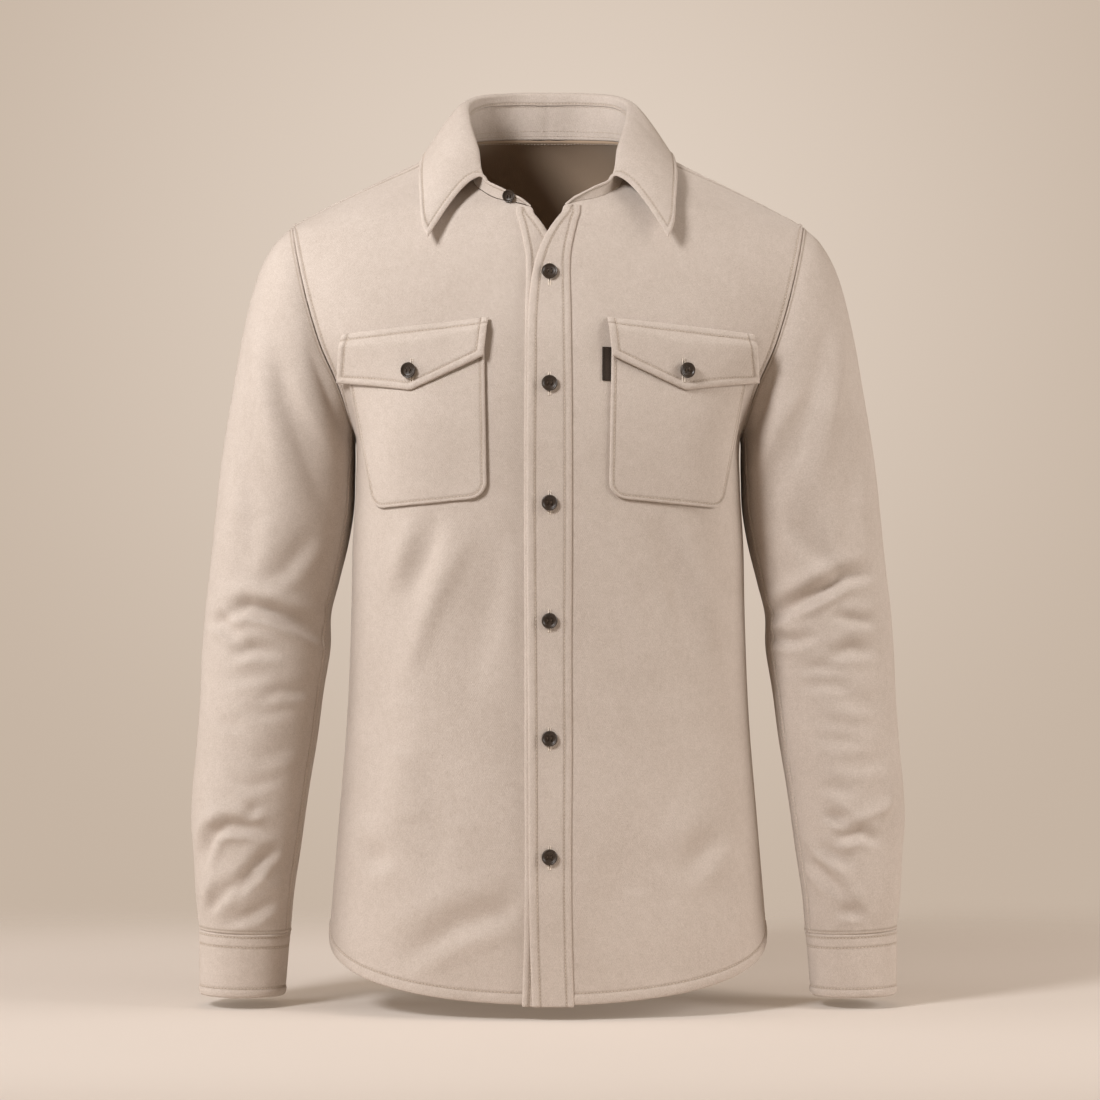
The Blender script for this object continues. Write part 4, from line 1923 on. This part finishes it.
# Each pair: a share of the radius and a share of the height, from the back to the dish.
BUTTON_PROFILE = (
    (0.00, 0.00), (0.78, 0.00), (0.92, 0.16), (0.99, 0.38), (1.00, 0.56), (0.985, 0.78), (0.95, 0.93),
    (0.90, 1.00), (0.84, 0.97), (0.79, 0.88), (0.73, 0.72), (0.66, 0.60), (0.58, 0.54), (0.00, 0.52),
)
HOLE_PLACE = 0.24
HOLE_RADIUS = 0.105
DRILL_SIDES = 16
DRILL_LOW = -0.5
DRILL_HIGH = 1.5


def add_object(name, verts, faces):
    """An object for a short while, from points and faces."""
    mesh = bpy.data.meshes.new(name)
    mesh.from_pydata(verts, [], faces)
    made = bpy.data.objects.new(name, mesh)
    bpy.context.scene.collection.objects.link(made)
    return made


def add_drill(x, y):
    """A rod on Z that reaches through a button of radius 1."""
    n = DRILL_SIDES
    turns = 2 * math.pi * np.arange(n) / n
    ring = [(x + HOLE_RADIUS * math.cos(a), y + HOLE_RADIUS * math.sin(a)) for a in turns]
    points = [(*p, DRILL_LOW) for p in ring] + [(*p, DRILL_HIGH) for p in ring]
    sides = [(k, (k + 1) % n, n + (k + 1) % n, n + k) for k in range(n)]
    return add_object("drill", points, sides + [tuple(range(n - 1, -1, -1)), tuple(range(n, 2 * n))])


def turned_button():
    """The mesh of a button of radius 1 with its axis on Z, and its height in the same unit."""
    tall = BUTTON_HEIGHT / BUTTON_RADIUS
    verts, faces = [], []
    angles = 2 * math.pi * np.arange(BUTTON_SIDES) / BUTTON_SIDES
    rings = []
    for radius, height in BUTTON_PROFILE:
        ring = []
        for a in angles if radius > 0 else angles[:1]:
            ring.append(len(verts))
            verts.append((radius * math.cos(a), radius * math.sin(a), height * tall))
        rings.append(ring)
    for low, high in zip(rings, rings[1:]):
        for k in range(BUTTON_SIDES):
            n = (k + 1) % BUTTON_SIDES
            if len(low) == 1:
                faces.append((low[0], high[n], high[k]))
            elif len(high) == 1:
                faces.append((low[k], low[n], high[0]))
            else:
                faces.append((low[k], low[n], high[n], high[k]))
    body = add_object("button_disc", verts, faces)
    drills = [add_drill(sx * HOLE_PLACE, sy * HOLE_PLACE) for sx in (-1, 1) for sy in (-1, 1)]
    for drill in drills:
        cut = body.modifiers.new("hole", "BOOLEAN")
        cut.operation = "DIFFERENCE"
        cut.solver = "EXACT"
        cut.object = drill
    shaped = bpy.data.meshes.new_from_object(body.evaluated_get(bpy.context.evaluated_depsgraph_get()))
    for spare in [body, *drills]:
        bpy.data.objects.remove(spare, do_unlink=True)
    return shaped


button_mesh = turned_button()
print("one button has", len(button_mesh.polygons), "faces")


# %% Placing buttons
RIM_ANGLE = math.radians(40)
THREAD_LEVEL = 0.50
THREAD_REACH = 1.1
THREAD_RISE = 0.0004
THREAD_SHARE = 0.96
THREAD_BAR_RADIUS = 0.00045


def bar(start, end, up, radius):
    """A line of points that rises between two ends, for a bar of thread."""
    t = np.linspace(0, 1, 7)[:, None]
    return start + (end - start) * t + up * radius * np.sin(np.pi * t), np.tile(up, (7, 1))


def place_button(name, centre, normal, radius):
    """A button and its thread at a centre on the cloth, facing along the normal."""
    normal = unit(np.asarray(normal, float))
    side = unit(np.cross(normal, (0.0, 0.0, 1.0)))
    up = np.cross(side, normal)
    matrix = np.stack([side, -up, normal], -1)
    if np.linalg.det(matrix) < 0:
        matrix[:, 0] = -matrix[:, 0]
    mesh = button_mesh.copy()
    mesh.name = name
    local = np.empty(len(mesh.vertices) * 3)
    mesh.vertices.foreach_get("co", local)
    tall = np.array((1, 1, BUTTON_RADIUS / radius))
    points = (local.reshape(-1, 3) * tall * radius) @ matrix.T + centre
    mesh.vertices.foreach_set("co", points.ravel())
    mesh.materials.clear()
    mesh.materials.append(horn)
    mesh.shade_smooth()
    mesh.set_sharp_from_angle(angle=RIM_ANGLE)
    mesh.update()
    piece = bpy.data.objects.new(name, mesh)
    bpy.context.scene.collection.objects.link(piece)
    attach(piece, "root")
    level = centre + normal * BUTTON_HEIGHT * THREAD_LEVEL
    lines = []
    for s in (-1, 1):
        across = side * s * HOLE_PLACE
        ends = [level + (across + up * t * HOLE_PLACE * THREAD_REACH) * radius for t in (-1, 1)]
        lines.append(bar(ends[0], ends[1], normal, THREAD_RISE))
    length = float(np.linalg.norm(lines[0][0][-1] - lines[0][0][0])) * THREAD_SHARE
    thread = sew(f"{name}_thread", lines, slit_finish, pitch=None, length=length, radius=THREAD_BAR_RADIUS)
    return piece, thread


# %% All the buttons
FRONT_BUTTON_X = 0.0014
FIRST_BUTTON_Z = -0.1066
SECOND_BUTTON_Z = -0.2027
BUTTON_PITCH = 0.1024
FLAP_BUTTON = (0.1178, -0.1903)
FLAP_BUTTON_OUT = LAYER_GAP * 3 + BAND * 2 + FLAP_OUT + POCKET_SWELL
COLLAR_BUTTON_ALONG = 0.958
CUFF_BUTTON_Z = -0.714


def front_place(x, z, out, side):
    """The point and the normal at x and z on the upper front's form, `out` off it."""
    points, normals = on_front(np.array([x]), np.array([z]), out, LEFT_FRONT_OUT, BODY_CREASES[side, -1])
    return points[0], normals[0]


button_zs = [FIRST_BUTTON_Z] + [SECOND_BUTTON_Z - BUTTON_PITCH * k for k in range(5)]
buttons = {}
for number, z in enumerate(button_zs, 1):
    point, normal = front_place(FRONT_BUTTON_X, z, 2 * LAYER_GAP + BAND, "left")
    buttons[f"button_front_{number}"] = place_button(f"front_button_{number}", point, normal, BUTTON_RADIUS)
around = CUFF_OPENING_ANGLE + CUFF_OVERLAP_ANGLE / 2
on_cuff = cuff_ring(around, CUFF_BUTTON_Z)
away = unit((on_cuff - cuff_ring(around + math.pi, CUFF_BUTTON_Z)) * (1, 1, 0))
cuff_point = on_cuff + away * (CUFF_CLOTH + LAYER_GAP * 4)
for side, sign in SIDES:
    flip = np.array((sign, 1, 1))
    point, normal = front_place(*FLAP_BUTTON, FLAP_BUTTON_OUT, side)
    flap_button = place_button(f"flap_button_{side}", point * flip, normal * flip, BUTTON_RADIUS)
    cuff_button = place_button(f"cuff_button_{side}", cuff_point * flip, away * flip, SMALL_BUTTON_RADIUS)
    buttons.update({f"button_flap_{side}": flap_button, f"button_cuff_{side}": cuff_button})
low = neck_seam([-COLLAR_BUTTON_ALONG])[0]
high = fold_line(np.array([-COLLAR_BUTTON_ALONG]))[0]
further = neck_seam([-COLLAR_BUTTON_ALONG + 0.02])[0]
collar_normal = unit(np.cross(high - low, further - low))
collar_normal = collar_normal * -np.sign(collar_normal[1])
collar_centre = (low + high) / 2 + collar_normal * LAYER_GAP * 2
buttons["button_collar"] = place_button("collar_button", collar_centre, collar_normal, SMALL_BUTTON_RADIUS)
print("buttons:", len(buttons))

# %% [markdown]
# ## Buttonholes
#
# A buttonhole is a slit with a close row of cross stitches down each side and a bar at
# each end. Above and below each button its ends show as light ribs with a dark slit.

# %% Buttonholes on the band and the flaps
HOLE_HALF_LENGTH = 0.0102
HOLE_PITCH = 0.00062
HOLE_STITCH = 0.0013
HOLE_STITCH_SHARE = 0.95
HOLE_THREAD_RADIUS = 0.00042
SLIT_HALF_WIDTH = 0.00022
SLIT_SHARE = 0.9
SLIT_LENGTH = HOLE_HALF_LENGTH * 1.75
SLIT_RADIUS = 0.00036
IN_FRONT_Y = -0.3


def on_cloth(tree, x, z):
    """Where a ray from the front meets the cloth, and the normal there."""
    found, normal, _, _ = tree.ray_cast(Vector((x, IN_FRONT_Y, z)), Vector((0, 1, 0)))
    return np.array(found), np.array(normal)


def buttonhole(tree, x, z):
    """Cross stitches down both sides of a slit, and its dark line."""
    bars = []
    for dz in np.arange(-HOLE_HALF_LENGTH, HOLE_HALF_LENGTH, HOLE_PITCH):
        for s in (-1, 1):
            reach = (SLIT_HALF_WIDTH, SLIT_HALF_WIDTH + HOLE_STITCH)
            (near, normal), (far, _) = [on_cloth(tree, x + s * d, z + dz) for d in reach]
            bars.append((np.linspace(near, far, 5), np.tile(normal, (5, 1))))
    half = HOLE_HALF_LENGTH * SLIT_SHARE
    line = [on_cloth(tree, x, z + d) for d in np.linspace(-half, half, 40)]
    slit = (np.array([p for p, _ in line]), np.array([n for _, n in line]))
    return bars, slit


HOLES = {
    "band": ("button_placket", [(FRONT_BUTTON_X, z) for z in button_zs]),
    "left": ("flap_left", [FLAP_BUTTON]),
    "right": ("flap_right", [(-FLAP_BUTTON[0], FLAP_BUTTON[1])]),
}
for name, (node, places) in HOLES.items():
    tree = surface_tree(cloths[node])
    bars, slits = [], []
    for x, z in places:
        found_bars, slit = buttonhole(tree, x, z)
        bars += found_bars
        slits.append(slit)
    length = HOLE_STITCH * HOLE_STITCH_SHARE
    thread = sew(f"buttonholes_{name}", bars, bar_finish, None, length, HOLE_THREAD_RADIUS)
    dark = sew(f"slits_{name}", slits, slit_finish, None, SLIT_LENGTH, SLIT_RADIUS)

# %% [markdown]
# ## Which piece stands for which solid
#
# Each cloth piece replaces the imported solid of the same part, and says how large it was
# cut. The flat sizes and areas are those of the finished panel, without seam allowances.

# %% Pieces and their cuts
# Each row: the node, its width, length and area, and how it is held.
SHEETS = (
    ("back", 0.480, 0.660, 0.298, "hung"),
    ("front_left", 0.275, 0.830, 0.187, "hung"),
    ("front_right", 0.275, 0.830, 0.187, "hung"),
    ("yoke", 0.525, 0.200, 0.078, "draped"),
    ("sleeve_left", 0.430, 0.640, 0.200, "hung"),
    ("sleeve_right", 0.430, 0.640, 0.200, "hung"),
    ("cuff_left", 0.268, 0.055, None, "folded"),
    ("cuff_right", 0.268, 0.055, None, "folded"),
    ("collar_stand", 0.530, 0.042, 0.0145, "folded"),
    ("collar_leaf", 0.560, 0.090, 0.0378, "folded"),
    ("button_placket", 0.037, 0.700, None, "folded"),
    ("under_placket", 0.037, 0.700, None, "folded"),
)
for node, width, length, area, held in SHEETS:
    piece = cloths[node]
    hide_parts(node)
for side in ("left", "right"):
    for part, width, length in (("pocket", 0.124, 0.145), ("flap", 0.132, 0.052)):
        node = f"{part}_{side}"
        piece = cloths[node]
        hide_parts(node)
for node, (piece, thread) in buttons.items():
    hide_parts(node)
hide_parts("pocket_tab")

# %% Count, measure and finish
triangles = 0
for piece in bpy.data.objects:
    if piece.type == "MESH" and not piece.hide_render:
        piece.data.calc_loop_triangles()
        triangles += len(piece.data.loop_triangles)
print("triangles in all:", triangles)
